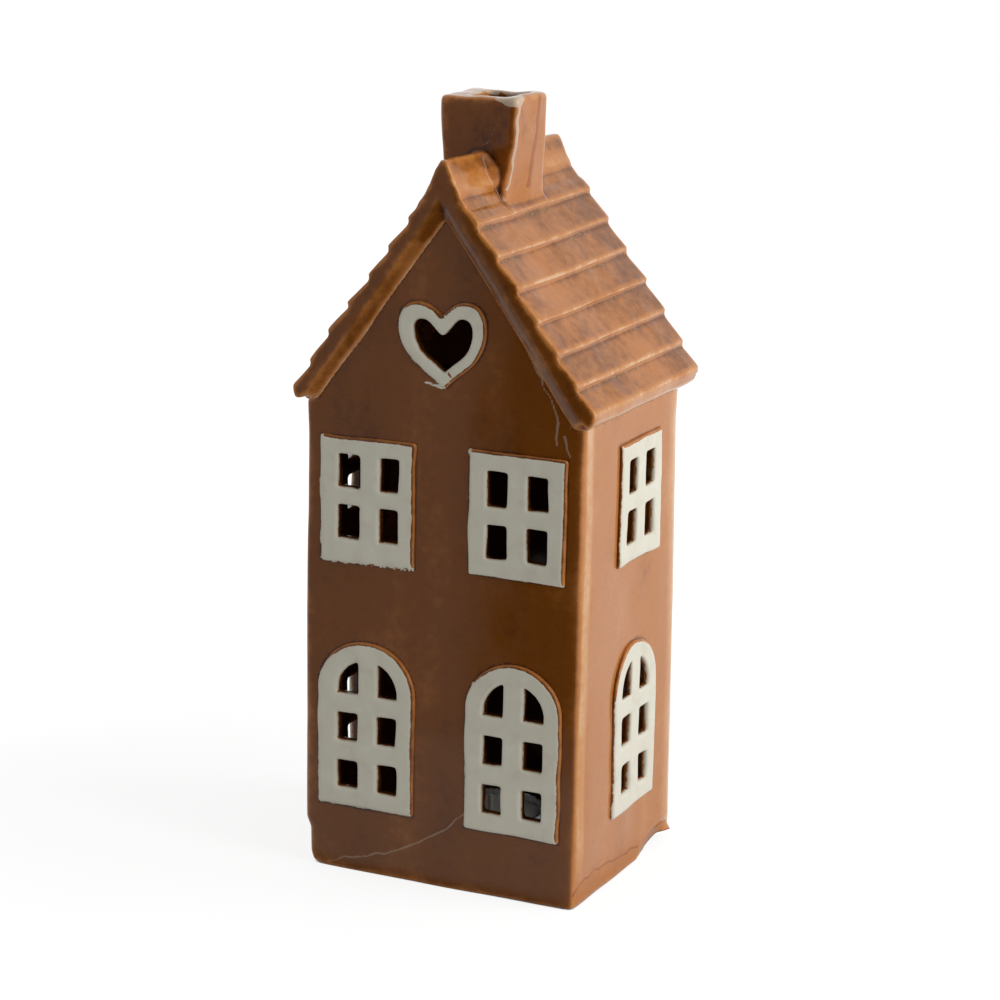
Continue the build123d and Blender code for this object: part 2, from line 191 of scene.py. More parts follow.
@dataclass
class Skin:
    """A closed surface of small quads, in mm, that follows one or more CAD solids.

    Attributes:
        points: Vertex places.
        quads: Faces as rows of four vertex numbers.
        masks: Named values for the shaders, one for each vertex.
    """

    points: Array
    quads: Array
    masks: dict[str, Array] = field(default_factory=dict)

    @classmethod
    def over(cls, solids: list[tuple[Array, Array]], voxel: float) -> "Skin":
        """Wraps overlapping solids in one surface.

        Args:
            solids: Vertices and triangles of each.
            voxel: Edge of the quads in mm.

        Returns:
            The surface round all of them.
        """
        points, faces, start = [], [], 0
        for places, corners in solids:
            points.append(places)
            faces.append(corners + start)
            start += len(places)
        mesh = bpy.data.meshes.new("wrapped")
        mesh.from_pydata(np.concatenate(points).tolist(), [], np.concatenate(faces).tolist())
        wrapped = bpy.data.objects.new("wrapped", mesh)
        bpy.context.scene.collection.objects.link(wrapped)
        remesh = wrapped.modifiers.new("wrap", "REMESH")
        remesh.mode = "VOXEL"
        remesh.voxel_size = voxel
        remesh.adaptivity = 0.0
        graph = bpy.context.evaluated_depsgraph_get()
        made = wrapped.evaluated_get(graph).to_mesh()
        places = np.empty(len(made.vertices) * 3)
        made.vertices.foreach_get("co", places)
        corners = np.empty(len(made.loops), np.int32)
        made.loops.foreach_get("vertex_index", corners)
        bpy.data.objects.remove(wrapped)
        bpy.data.meshes.remove(mesh)
        return cls(places.reshape(-1, 3), corners.reshape(-1, 4))

    def around(self, values: Array) -> Array:
        """Averages each vertex's neighbours.

        Args:
            values: One or more columns of values, one row for each vertex.

        Returns:
            The means, in the same form.
        """
        table = values.reshape(len(self.points), -1)
        here = self.quads.ravel()
        there = np.roll(self.quads, -1, axis=1).ravel()
        count = np.maximum(np.bincount(here, minlength=len(table)), 1)
        means = [np.bincount(here, weights=column[there], minlength=len(table)) / count for column in table.T]
        return np.stack(means, axis=1).reshape(values.shape)

    def soften(self, rounds: int, share: Array | float = 1.0) -> None:
        """Smooths the surface.

        Args:
            rounds: How many passes.
            share: How strongly it works at each vertex, from 0 to 1.
        """
        for _ in range(rounds):
            move = 0.5 * (self.around(self.points) - self.points)
            self.points = self.points + move * (share if np.isscalar(share) else share[:, None])

    def normals(self) -> Array:
        """Finds the vertices' outward directions.

        Returns:
            One unit vector for each vertex.
        """
        corners = self.points[self.quads]
        flat = np.cross(corners[:, 2] - corners[:, 0], corners[:, 3] - corners[:, 1])
        total = np.zeros_like(self.points)
        here, count = self.quads.ravel(), len(self.points)
        for column in range(3):
            total[:, column] = np.bincount(here, weights=np.repeat(flat[:, column], 4), minlength=count)
        return total / np.maximum(np.linalg.norm(total, axis=1, keepdims=True), 1e-9)

    def read_relief(self, name: str, rounds: int, unit: float) -> None:
        """Adds a mask that is positive on edges and negative in hollows.

        Args:
            name: The mask's name.
            rounds: Passes of smoothing to compare with, which set its width.
            unit: Height in mm that counts as 1.
        """
        smooth = self.points
        for _ in range(rounds):
            smooth = 0.5 * (smooth + self.around(smooth))
        height = np.sum((self.points - smooth) * self.normals(), axis=1)
        height = 0.5 * (height + self.around(height))
        self.masks[name] = np.clip(height / unit, -2.0, 2.0)

    def wave(self, size: float, height: float, seed: int) -> None:
        """Moves the surface in and out, as a thick glaze over pressed clay does.

        Args:
            size: Length of the waves in mm.
            height: Their height in mm.
            seed: Which noise to draw.
        """
        move = height * ripple(self.points, size, seed)
        self.points = self.points + self.normals() * move[:, None]

    def made(self, name: str, body: Body, nodes: list[str], material: bpy.types.Material) -> bpy.types.Object:
        """Makes the piece that stands for its CAD nodes.

        Args:
            name: The piece's name.
            body: The body that it rides on.
            nodes: The CAD nodes that it replaces.
            material: Its finish.

        Returns:
            The new object.
        """
        mesh = bpy.data.meshes.new(name)
        mesh.vertices.add(len(self.points))
        mesh.vertices.foreach_set("co", (self.points * MM).astype(np.float32).ravel())
        mesh.loops.add(self.quads.size)
        mesh.loops.foreach_set("vertex_index", self.quads.astype(np.int32).ravel())
        mesh.polygons.add(len(self.quads))
        starts = np.arange(0, self.quads.size, 4, dtype=np.int32)
        mesh.polygons.foreach_set("loop_start", starts)
        mesh.update(calc_edges=True)
        mesh.validate()
        mesh.shade_smooth()
        for mask, values in self.masks.items():
            layer = mesh.attributes.new(mask, "FLOAT", "POINT")
            layer.data.foreach_set("value", values.astype(np.float32))
        mesh.materials.append(material)
        made = bpy.data.objects.new(name, mesh)
        bpy.context.scene.collection.objects.link(made)
        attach(made, body.value)
        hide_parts(*nodes)
        LOG.info("%s: %d faces", name, len(self.quads))
        return made


# Outlines of the raised windows


@dataclass
class Outline:
    """The edge of a raised frame's outer face, read from its CAD node.

    Attributes:
        node: The CAD node's name.
        side: The wall that it stands on.
        level: How far below the top a place may lie and still count as on the face, in mm.
    """

    node: str
    side: Side
    level: float = 0.02

    def segments(self) -> tuple[Array, Array, Array, Array]:
        """Ends of the edge's segments and their outward directions, in the wall's plane.

        Returns:
            Starts, ends, unit directions that point out of the face, and which belong to its rim.
        """
        places, corners = node_arrays(self.node)
        depth = places[:, self.side.axis] * self.side.sign
        top = depth > depth.max() - self.level
        faces = corners[top[corners].all(axis=1)]
        _, same = np.unique(np.round(places / MM).astype(np.int64), axis=0, return_inverse=True)
        same = same.ravel()
        edges: dict[tuple[int, int], tuple[int, int, int]] = {}
        for a, b, c in faces:
            for p, q, r in ((a, b, c), (b, c, a), (c, a, b)):
                key = tuple(sorted((int(same[p]), int(same[q]))))
                if key in edges:
                    del edges[key]
                else:
                    edges[key] = (p, q, r)
        rows = np.array(list(edges.values()))
        flat = self.side.flat(places)
        start, end, inner = flat[rows[:, 0]], flat[rows[:, 1]], flat[rows[:, 2]]
        along = end - start
        out = np.stack([along[:, 1], -along[:, 0]], axis=1)
        out /= np.maximum(np.linalg.norm(out, axis=1, keepdims=True), 1e-9)
        out[np.sum(out * (inner - start), axis=1) > 0] *= -1
        ends = same[rows[:, :2]]
        loop = np.arange(len(rows))
        for _ in rows:
            lowest = np.full(same.max() + 1, len(rows))
            np.minimum.at(lowest, ends.ravel(), np.repeat(loop, 2))
            loop = lowest[ends].min(axis=1)
        rim = loop == loop[np.argmin(start[:, 0])]
        return start, end, out, rim

    def distance(self, flat: Array) -> tuple[Array, Array, Array]:
        """How far inside the frame's face places lie.

        Args:
            flat: Places in the wall's plane, in mm.

        Returns:
            The distance, positive inside, the outward direction of the nearest edge and
            whether that edge is on the rim.
        """
        start, end, out, rim = self.segments()
        best = np.full(len(flat), FAR)
        nearest = np.zeros(len(flat), int)
        within = np.zeros(len(flat), bool)
        for k, (one, other) in enumerate(zip(start, end)):
            along = other - one
            t = ramp((flat - one) @ along / (along @ along))
            far = np.linalg.norm(flat - (one + t[:, None] * along), axis=1)
            nearest = np.where(far < best, k, nearest)
            best = np.minimum(best, far)
            spans = (one[1] > flat[:, 1]) != (other[1] > flat[:, 1])
            if one[1] != other[1]:
                cross = one[0] + (flat[:, 1] - one[1]) * along[0] / along[1]
                within ^= spans & (flat[:, 0] < cross)
        return np.where(within, best, -best), out[nearest], rim[nearest]


# Shape changes of a hand-pressed body


@dataclass(frozen=True)
class Settling:
    """How the pressed and fired body departs from its plain solids, in mm.

    Attributes:
        bow: How far the left wall bows out at half its height.
        ledge: How far the left wall stands out above its foot.
        splay: How far the right wall leans out at its rear foot.
        side_roll: How far the side walls roll in towards their upright corners.
        gable_roll: The same for the gable walls.
        scoop_lift: How far the foot is drawn up behind the scoop.
        scoop_lip: How far the scoop's inner lip hangs.
        tip: How far the foot flares out at its rear right tip.
        left_lift: How far the foot is drawn up at the front left corner.
        left_inset: How far it is drawn in there.
        swell: How far the right slope swells out towards its rear.
        climb: How far it climbs there.
        droop: How far the left eave's front end hangs.
        slope: Sine and cosine of the slope that the swell stands on.
    """

    bow: float = 0.5
    ledge: float = 1.5
    splay: float = 1.8
    side_roll: float = 0.5
    gable_roll: float = 0.2
    scoop_lift: float = 3.1
    scoop_lip: float = 2.6
    tip: float = 2.3
    left_lift: float = 1.0
    left_inset: float = 0.9
    swell: float = 1.7
    climb: float = 1.3
    droop: float = 1.6
    slope: tuple[float, float] = (0.81, 0.59)

    def moved(self, points: Array) -> Array:
        """Moves CAD places to where the fired body has them.

        Args:
            points: Places in mm.

        Returns:
            The moved places.
        """
        return points + self.walls(points) + self.foot(points) + self.roof(points)

    def walls(self, points: Array) -> Array:
        """Bows the left wall, splays the right one and rolls all four towards their corners.

        Args:
            points: Places in mm.

        Returns:
            Each place's shift.
        """
        x, y, z = points.T
        shift = np.zeros_like(points)
        back = rise(y, -36.0, -22.0)
        above = ramp((z - 12.0 + 12.0 * back) / (5.0 + 45.0 * back))
        ledge = self.ledge * above * above * (3.0 - 2.0 * above) * fall(z, 162.0, 166.0)
        bow = self.bow * np.sin(np.pi * ramp((z - 8.0) / 158.0))
        shift[:, 0] -= (bow + ledge) * fall(x, -50.0, -30.0)
        shift[:, 0] += self.splay * ramp((163.0 - z) / 155.0) * rise(y, 5.0, 41.0) * rise(x, 30.0, 50.0)
        below = fall(z, 150.0, 163.0)
        roll = self.side_roll * ramp((np.abs(y) - 31.0) / 10.0) ** 2
        shift[:, 0] -= below * np.sign(x) * roll * rise(np.abs(x), 44.0, 47.0)
        roll = self.gable_roll * ramp((np.abs(x) - 43.0) / 7.0) ** 2
        shift[:, 1] -= below * np.sign(y) * roll * rise(np.abs(y), 35.0, 38.0)
        return shift

    def foot(self, points: Array) -> Array:
        """Draws the foot up beside the scoop and at the front left corner, and flares its rear tip.

        Args:
            points: Places in mm.

        Returns:
            Each place's shift.
        """
        x, y, z = points.T
        shift = np.zeros_like(points)
        corner = rise(y, 16.5, 34.0) * rise(x, 22.0, 46.0)
        shift[:, 2] += corner * (self.scoop_lift - 0.2 * rise(y, 36.0, 41.0)) * ramp(1.0 - z / 15.0)
        lip = fall(x, 44.5, 48.0) * rise(x, 38.0, 42.0) * fall(z, 8.0, 12.0)
        shift[:, 2] -= self.scoop_lip * lip * rise(y, 16.0, 22.0) * fall(y, 27.0, 34.0)
        flare = rise(y, 33.0, 41.0) * rise(x, 40.0, 49.0)
        shift[:, 0] += self.tip * flare * ramp(1.0 - z / 6.0) ** 2
        corner = fall(x, -50.0, -43.0) * fall(y, -41.0, -34.0)
        shift[:, 2] += self.left_lift * corner**2 * ramp(1.0 - z / 6.0)
        shift[:, 0] += self.left_inset * corner * ramp(1.0 - z / 4.0)
        return shift

    def roof(self, points: Array) -> Array:
        """Swells the right slope towards its rear and lets the left eave's front end hang.

        Args:
            points: Places in mm.

        Returns:
            Each place's shift.
        """
        x, y, z = points.T
        shift = np.zeros_like(points)
        high = ramp((z - 168.0) / 70.0)
        rear = rise(y, -25.0, 44.0) * rise(x, 1.0, 9.0)
        out = self.swell * rear * np.sin(np.pi * ramp(high * 0.86 + 0.1)) ** 0.8 * (high > 0)
        climb = self.climb * rear * high
        steep, flat = self.slope
        shift[:, 0] += steep * out - flat * climb
        shift[:, 2] += flat * out + steep * climb
        shift[:, 2] -= self.droop * fall(x, -54.0, -44.0) * fall(y, -42.0, -15.0) * rise(z, 163.5, 166.0)
        return shift


@dataclass(frozen=True)
class LutedWindow:
    """The front's upper left window, which was luted on a little askew, in mm.

    Attributes:
        middle: Its middle, across and up the wall.
        half: Half its width and half its height.
        left: How far its left edge is moved to the right, and how that changes with height.
        right: The same for its right edge.
        top: How far its top edge is moved up, and how that changes across it.
        bottom: The same for its bottom edge.
    """

    middle: Place = (-27.0, 131.9)
    half: Place = (17.3, 20.9)
    left: Place = (0.5, -0.012)
    right: Place = (-0.45, 0.005)
    top: Place = (-0.7, 0.012)
    bottom: Place = (-1.8, 0.018)

    def moved(self, points: Array) -> Array:
        """Moves the places that belong to the window.

        Args:
            points: Places in mm.

        Returns:
            The moved places.
        """
        across, up = points[:, 0] - self.middle[0], points[:, 2] - self.middle[1]
        wide, tall = self.half
        near = fall(np.maximum(np.abs(across) - wide, np.abs(up) - tall), 0.5, 4.5)
        near = near * fall(points[:, 1], -37.0, -34.0)
        beside = near * rise(np.abs(across) / wide, 0.72, 0.97)
        over = near * rise(np.abs(up) / tall, 0.78, 0.98)
        left, right, top, bottom = self.left, self.right, self.top, self.bottom
        moved = points.copy()
        moved[:, 0] += beside * np.where(across < 0, left[0] + left[1] * up, right[0] + right[1] * up)
        moved[:, 2] += over * np.where(up > 0, top[0] + top[1] * across, bottom[0] + bottom[1] * across)
        return moved


def fired(points: Array) -> Array:
    """Places in mm as the finished house has them."""
    return Settling().moved(LutedWindow().moved(points))


# Shader tools


class Graph:
    """Short ways to lay out a node tree."""

    def __init__(self, tree: bpy.types.NodeTree) -> None:
        """Takes the tree to work on."""
        self.tree = tree

    def node(self, kind: str, **settings: object) -> bpy.types.Node:
        """Adds a node and sets its properties.

        Args:
            kind: Blender's name for the node.
            **settings: Its properties.

        Returns:
            The new node.
        """
        made = self.tree.nodes.new(kind)
        for name, value in settings.items():
            setattr(made, name, value)
        return made

    def feed(self, socket: Socket, value: object) -> None:
        """Links a socket to another, or sets its constant.

        Args:
            socket: The input.
            value: An output to link, or a constant.
        """
        if isinstance(value, bpy.types.NodeSocket):
            self.tree.links.new(value, socket)
        elif socket.type == "RGBA" and len(value) == 3:
            socket.default_value = (*value, 1.0)
        else:
            socket.default_value = value

    def sum(self, operation: str, *values: Value, clamp: bool = False) -> Socket:
        """Adds a Math node.

        Args:
            operation: What it works out.
            *values: Its inputs.
            clamp: Whether the result is kept between 0 and 1.

        Returns:
            Its result.
        """
        made = self.node("ShaderNodeMath", operation=operation, use_clamp=clamp)
        for socket, value in zip(made.inputs, values):
            self.feed(socket, value)
        return made.outputs[0]

    def spread(self, value: Value, low: float, high: float, start: float = 0.0, end: float = 1.0) -> Socket:
        """Maps a value softly from one range to another.

        Args:
            value: The value.
            low: Where the result is start.
            high: Where the result is end.
            start: The result at low.
            end: The result at high.

        Returns:
            The mapped value.
        """
        made = self.node("ShaderNodeMapRange", interpolation_type="SMOOTHSTEP")
        for socket, part in zip(made.inputs, (value, low, high, start, end)):
            self.feed(socket, part)
        return made.outputs[0]

    def place(self, stretch: Point = (1.0, 1.0, 1.0), shift: float = 0.0) -> Socket:
        """Adds object coordinates in mm.

        Args:
            stretch: Factors along the axes, where a small one draws a pattern out.
            shift: How far the pattern is moved.

        Returns:
            The coordinates.
        """
        where = self.node("ShaderNodeTexCoord").outputs["Object"]
        made = self.node("ShaderNodeVectorMath", operation="MULTIPLY_ADD")
        self.feed(made.inputs[0], where)
        made.inputs[1].default_value = tuple(part / MM for part in stretch)
        made.inputs[2].default_value = (shift, shift, shift)
        return made.outputs[0]

    def noise(self, where: Socket, size: float, detail: float = 2.0, rough: float = 0.5) -> Socket:
        """Adds a noise.

        Args:
            where: Coordinates in mm.
            size: Size of its features in mm.
            detail: How many finer layers it has.
            rough: How strong they are.

        Returns:
            Its value, about 0 to 1.
        """
        made = self.node("ShaderNodeTexNoise")
        self.feed(made.inputs["Vector"], where)
        made.inputs["Scale"].default_value = 1.0 / size
        made.inputs["Detail"].default_value = detail
        made.inputs["Roughness"].default_value = rough
        return made.outputs[0]

    def cells(self, where: Socket, size: float, feature: str = "F1") -> Socket:
        """Adds a pattern of cells.

        Args:
            where: Coordinates in mm.
            size: Size of the cells in mm.
            feature: Which distance it gives.

        Returns:
            The distance, in cells.
        """
        made = self.node("ShaderNodeTexVoronoi", feature=feature)
        self.feed(made.inputs["Vector"], where)
        made.inputs["Scale"].default_value = 1.0 / size
        return made.outputs["Distance"]

    def ramp(self, value: Value, stops: list[tuple[float, Colour]]) -> Socket:
        """Adds a colour ramp.

        Args:
            value: The value to colour.
            stops: Where each colour stands, and the colour.

        Returns:
            The colour.
        """
        made = self.node("ShaderNodeValToRGB")
        made.color_ramp.interpolation = "EASE"
        points = made.color_ramp.elements
        while len(points) < len(stops):
            points.new(0.5)
        for point, (at, colour) in zip(points, stops):
            point.position = at
            point.color = (*colour, 1.0)
        self.feed(made.inputs[0], value)
        return made.outputs[0]

    def blend(self, share: Value, first: object, second: object, how: str = "MIX") -> Socket:
        """Mixes two colours.

        Args:
            share: How much of the second colour.
            first: The first colour.
            second: The second colour.
            how: Blender's name for the way of mixing.

        Returns:
            The mixed colour.
        """
        made = self.node("ShaderNodeMix", data_type="RGBA", blend_type=how)
        self.feed(made.inputs[0], share)
        self.feed(made.inputs[6], first)
        self.feed(made.inputs[7], second)
        return made.outputs[2]

    def mask(self, name: str) -> Socket:
        """A mask that the piece's mesh carries."""
        return self.node("ShaderNodeAttribute", attribute_name=name).outputs["Fac"]


def cleared(name: str) -> tuple[bpy.types.Material, Graph]:
    """Makes a material with an empty node tree.

    Args:
        name: The material's name.

    Returns:
        The material and its graph.
    """
    material = bpy.data.materials.new(name)
    material.use_nodes = True
    material.node_tree.nodes.clear()
    return material, Graph(material.node_tree)


def surface(g: Graph, colour: Socket, rough: Socket, height: Socket, strength: float = 1.0) -> bpy.types.Node:
    """Adds a shader with its relief to a material.

    Args:
        g: The material's graph.
        colour: Its colour.
        rough: Its roughness.
        height: Its relief in mm.
        strength: How strongly the relief shows.

    Returns:
        The shader's node.
    """
    shader = g.node("ShaderNodeBsdfPrincipled")
    g.feed(g.node("ShaderNodeOutputMaterial").inputs[0], shader.outputs[0])
    g.feed(shader.inputs["Base Color"], colour)
    g.feed(shader.inputs["Roughness"], rough)
    bump = g.node("ShaderNodeBump")
    bump.inputs["Strength"].default_value = strength
    bump.inputs["Distance"].default_value = MM
    g.feed(bump.inputs["Height"], height)
    g.feed(shader.inputs["Normal"], bump.outputs[0])
    return shader


def group(
    name: str, inputs: dict[str, float], outputs: dict[str, str]
) -> tuple[Graph, bpy.types.Node, bpy.types.Node]:
    """Starts a shader node group.

    Args:
        name: The group's name.
        inputs: Float inputs with their defaults.
        outputs: Outputs with their socket types.

    Returns:
        Its graph, its input node and its output node.
    """
    tree = bpy.data.node_groups.new(name, "ShaderNodeTree")
    for label, default in inputs.items():
        made = tree.interface.new_socket(label, in_out="INPUT", socket_type="NodeSocketFloat")
        made.default_value = default
    for label, kind in outputs.items():
        tree.interface.new_socket(label, in_out="OUTPUT", socket_type=kind)
    graph = Graph(tree)
    return graph, graph.node("NodeGroupInput"), graph.node("NodeGroupOutput")


def glaze_depth_group() -> bpy.types.NodeTree:
    """Group that says how deep the brown glaze lies, from the masks and its own runs and streaks; its Tone
    and Hollow inputs also carry painted shade.

    Returns:
        The node group, with output Depth.
    """
    g, ins, outs = group(
        "glaze depth",
        {"Tone": 0.5, "Edge": 0.0, "Hollow": 0.0, "Streaks": 0.1, "Mottle": 0.1},
        {"Depth": "NodeSocketFloat"},
    )
    down = g.noise(g.place((1.0, 1.0, 0.16)), size=26.0, detail=2.0, rough=0.5)
    fine = g.noise(g.place((1.0, 1.0, 0.12), 31.0), size=10.0, detail=2.0)
    broad = g.noise(g.place(shift=7.0), size=30.0, detail=2.0)
    small = g.noise(g.place(shift=3.0), size=3.5, detail=4.0, rough=0.6)
    run = g.sum("ADD", g.sum("MULTIPLY", down, 0.7), g.sum("MULTIPLY", fine, 0.3))
    run = g.sum("MULTIPLY", g.sum("SUBTRACT", run, 0.5), ins.outputs["Streaks"])
    spot = g.sum("ADD", g.sum("MULTIPLY", broad, 0.6), g.sum("MULTIPLY", small, 0.4))
    spot = g.sum("MULTIPLY", g.sum("SUBTRACT", spot, 0.5), ins.outputs["Mottle"])
    patchy = g.spread(g.noise(g.place(shift=23.0), size=6.0, detail=3.0, rough=0.6), 0.3, 0.7, 0.45, 1.3)
    worn = g.sum("MULTIPLY", g.sum("MAXIMUM", ins.outputs["Edge"], 0.0), patchy)
    thin = g.sum("MULTIPLY", g.sum("MINIMUM", worn, 1.3), -0.30)
    # Darker in hollows: partly glaze that has pooled there, partly painted shade in grooves and under lips.
    pool = g.sum("MULTIPLY", g.sum("MAXIMUM", ins.outputs["Hollow"], 0.0), 0.33)
    depth = g.sum("ADD", g.sum("ADD", ins.outputs["Tone"], run), spot)
    depth = g.sum("ADD", g.sum("ADD", depth, thin), pool, clamp=True)
    g.feed(outs.inputs["Depth"], depth)
    return g.tree


@dataclass(frozen=True)
class GlazeColours:
    """Colours of the brown glaze from thin to deep, as linear values.

    Attributes:
        bare: Where it has run off an edge.
        thin: On edges and lips.
        body: On well-covered slopes and sides.
        deep: On the gable's front, where it stands for painted shade, and in the jambs.
        dark: In pools and pinholes, and as painted shade inside the house, the flue and the jambs.
        crackle: Of the fine net in pools.
        milk: Of the specks in pools.
        run: Of a dark run.
        trickle: Of a milky trickle.
    """

    bare: Colour = (0.70, 0.42, 0.22)
    thin: Colour = (0.60, 0.26, 0.085)
    body: Colour = (0.50, 0.185, 0.045)
    deep: Colour = (0.190, 0.056, 0.0060)
    dark: Colour = (0.05, 0.014, 0.004)
    crackle: Colour = (0.10, 0.085, 0.03)
    milk: Colour = (0.42, 0.36, 0.20)
    run: Colour = (0.36, 0.10, 0.015)
    trickle: Colour = (0.66, 0.56, 0.44)


@dataclass(frozen=True)
class CreamColours:
    """Colours of the cream glaze, as linear values.

    Attributes:
        thin: Where it lies thin.
        body: Over most of a frame.
        thick: Where it lies thick.
        freckle: Of its few dark specks.
    """

    thin: Colour = (0.70, 0.655, 0.53)
    body: Colour = (0.76, 0.725, 0.60)
    thick: Colour = (0.80, 0.77, 0.66)
    freckle: Colour = (0.20, 0.09, 0.03)


def glaze_colour_group(colours: GlazeColours) -> bpy.types.NodeTree:
    """Group that turns the glaze's depth into colour, gloss and relief.

    Args:
        colours: The glaze's colours.

    Returns:
        The node group, with outputs Colour, Roughness and Height.
    """
    g, ins, outs = group(
        "brown glaze",
        {"Depth": 0.5, "Pits": 0.5, "Pool": 0.0},
        {"Colour": "NodeSocketColor", "Roughness": "NodeSocketFloat", "Height": "NodeSocketFloat"},
    )
    levels = [(0.0, colours.bare), (0.18, colours.thin), (0.42, colours.body), (0.75, colours.deep)]
    colour = g.ramp(ins.outputs["Depth"], [*levels, (1.0, colours.dark)])
    where = g.place()
    pit = g.spread(g.cells(where, size=3.1), 0.12, 0.03)
    keep = g.spread(g.noise(where, size=9.0, detail=1.0), 0.52, 0.66)
    pit = g.sum("MULTIPLY", g.sum("MULTIPLY", pit, keep), ins.outputs["Pits"])
    crackle = g.spread(g.cells(g.place(shift=11.0), size=1.7, feature="DISTANCE_TO_EDGE"), 0.07, 0.0)
    grain = g.noise(where, size=0.8, detail=2.0, rough=0.6)
    specks = g.spread(g.noise(g.place(shift=5.0), size=0.55, detail=1.0), 0.56, 0.70)
    milk = g.sum("MULTIPLY", g.sum("MULTIPLY", specks, ins.outputs["Pool"]), 0.75)
    lines = g.sum("MULTIPLY", g.sum("MULTIPLY", crackle, ins.outputs["Pool"]), 0.65)
    colour = g.blend(g.sum("MULTIPLY", pit, 0.7), colour, colours.dark)
    colour = g.blend(lines, colour, colours.crackle)
    colour = g.blend(milk, colour, colours.milk)
    shade = g.spread(grain, 0.2, 0.8, 0.94, 1.06)
    tint = g.node("ShaderNodeCombineColor")
    for socket in tint.inputs:
        g.feed(socket, shade)
    g.feed(outs.inputs["Colour"], g.blend(1.0, colour, tint.outputs[0], "MULTIPLY"))
    rough = g.spread(g.noise(g.place(shift=19.0), size=12.0, detail=3.0), 0.3, 0.7, 0.07, 0.16)
    rough = g.sum("ADD", rough, g.sum("MULTIPLY", g.sum("ADD", pit, milk), 0.3))
    g.feed(outs.inputs["Roughness"], rough)
    skin = g.sum("MULTIPLY", g.noise(g.place(shift=13.0), size=5.0, detail=3.0, rough=0.5), 0.05)
    peel = g.sum("MULTIPLY", g.noise(where, size=1.6, detail=1.0), 0.008)
    height = g.sum("SUBTRACT", g.sum("ADD", skin, peel), g.sum("MULTIPLY", pit, 0.05))
    g.feed(outs.inputs["Height"], height)
    return g.tree


def brush_group() -> bpy.types.NodeTree:
    """Group that turns a distance inside a brushed field into a mask with ragged edges.

    Returns:
        The node group, with outputs Mask and Height.
    """
    g, ins, outs = group(
        "brushed edge",
        {"Distance": -9.0, "Ragged": 0.5, "Tear": 0.0},
        {"Mask": "NodeSocketFloat", "Height": "NodeSocketFloat"},
    )
    wide = g.sum("SUBTRACT", g.noise(g.place(), size=3.2, detail=3.0, rough=0.65), 0.5)
    hairs = g.sum("SUBTRACT", g.noise(g.place((1.0, 1.0, 0.4), 8.0), size=0.8, detail=2.0), 0.5)
    move = g.sum("ADD", g.sum("MULTIPLY", wide, 2.0), g.sum("MULTIPLY", hairs, 0.8))
    inside = g.sum("ADD", ins.outputs["Distance"], g.sum("MULTIPLY", move, ins.outputs["Ragged"]))
    teeth = g.noise(g.place((1.0, 1.0, 0.35), 17.0), size=2.2, detail=3.0, rough=0.65)
    teeth = g.spread(teeth, 0.36, 0.60, -0.9, 0.5)
    inside = g.sum("ADD", inside, g.sum("MULTIPLY", teeth, ins.outputs["Tear"]))
    g.feed(outs.inputs["Mask"], g.spread(inside, -0.10, 0.14))
    body = g.spread(inside, -0.1, 0.7, 0.0, 0.10)
    g.feed(outs.inputs["Height"], body)
    return g.tree


def cream_colour_group(colours: CreamColours) -> bpy.types.NodeTree:
    """Group of the cream glaze's colour, gloss and relief.

    Args:
        colours: The glaze's colours.

    Returns:
        The node group, with outputs Colour, Roughness and Height.
    """
    g, _, outs = group(
        "cream glaze",
        {},
        {"Colour": "NodeSocketColor", "Roughness": "NodeSocketFloat", "Height": "NodeSocketFloat"},
    )
    cloud = g.noise(g.place(), size=7.0, detail=4.0, rough=0.55)
    colour = g.ramp(cloud, [(0.25, colours.thin), (0.5, colours.body), (0.8, colours.thick)])
    freckle = g.spread(g.cells(g.place(shift=4.0), size=4.6), 0.055, 0.02)
    some = g.spread(g.noise(g.place(shift=2.0), size=8.0, detail=0.0), 0.55, 0.62)
    freckle = g.sum("MULTIPLY", freckle, some)
    g.feed(outs.inputs["Colour"], g.blend(g.sum("MULTIPLY", freckle, 0.75), colour, colours.freckle))
    g.feed(outs.inputs["Roughness"], g.spread(cloud, 0.3, 0.7, 0.16, 0.28))
    strokes = g.noise(g.place((1.0, 1.0, 0.35)), size=1.4, detail=2.0)
    g.feed(outs.inputs["Height"], g.sum("MULTIPLY", strokes, 0.02))
    return g.tree


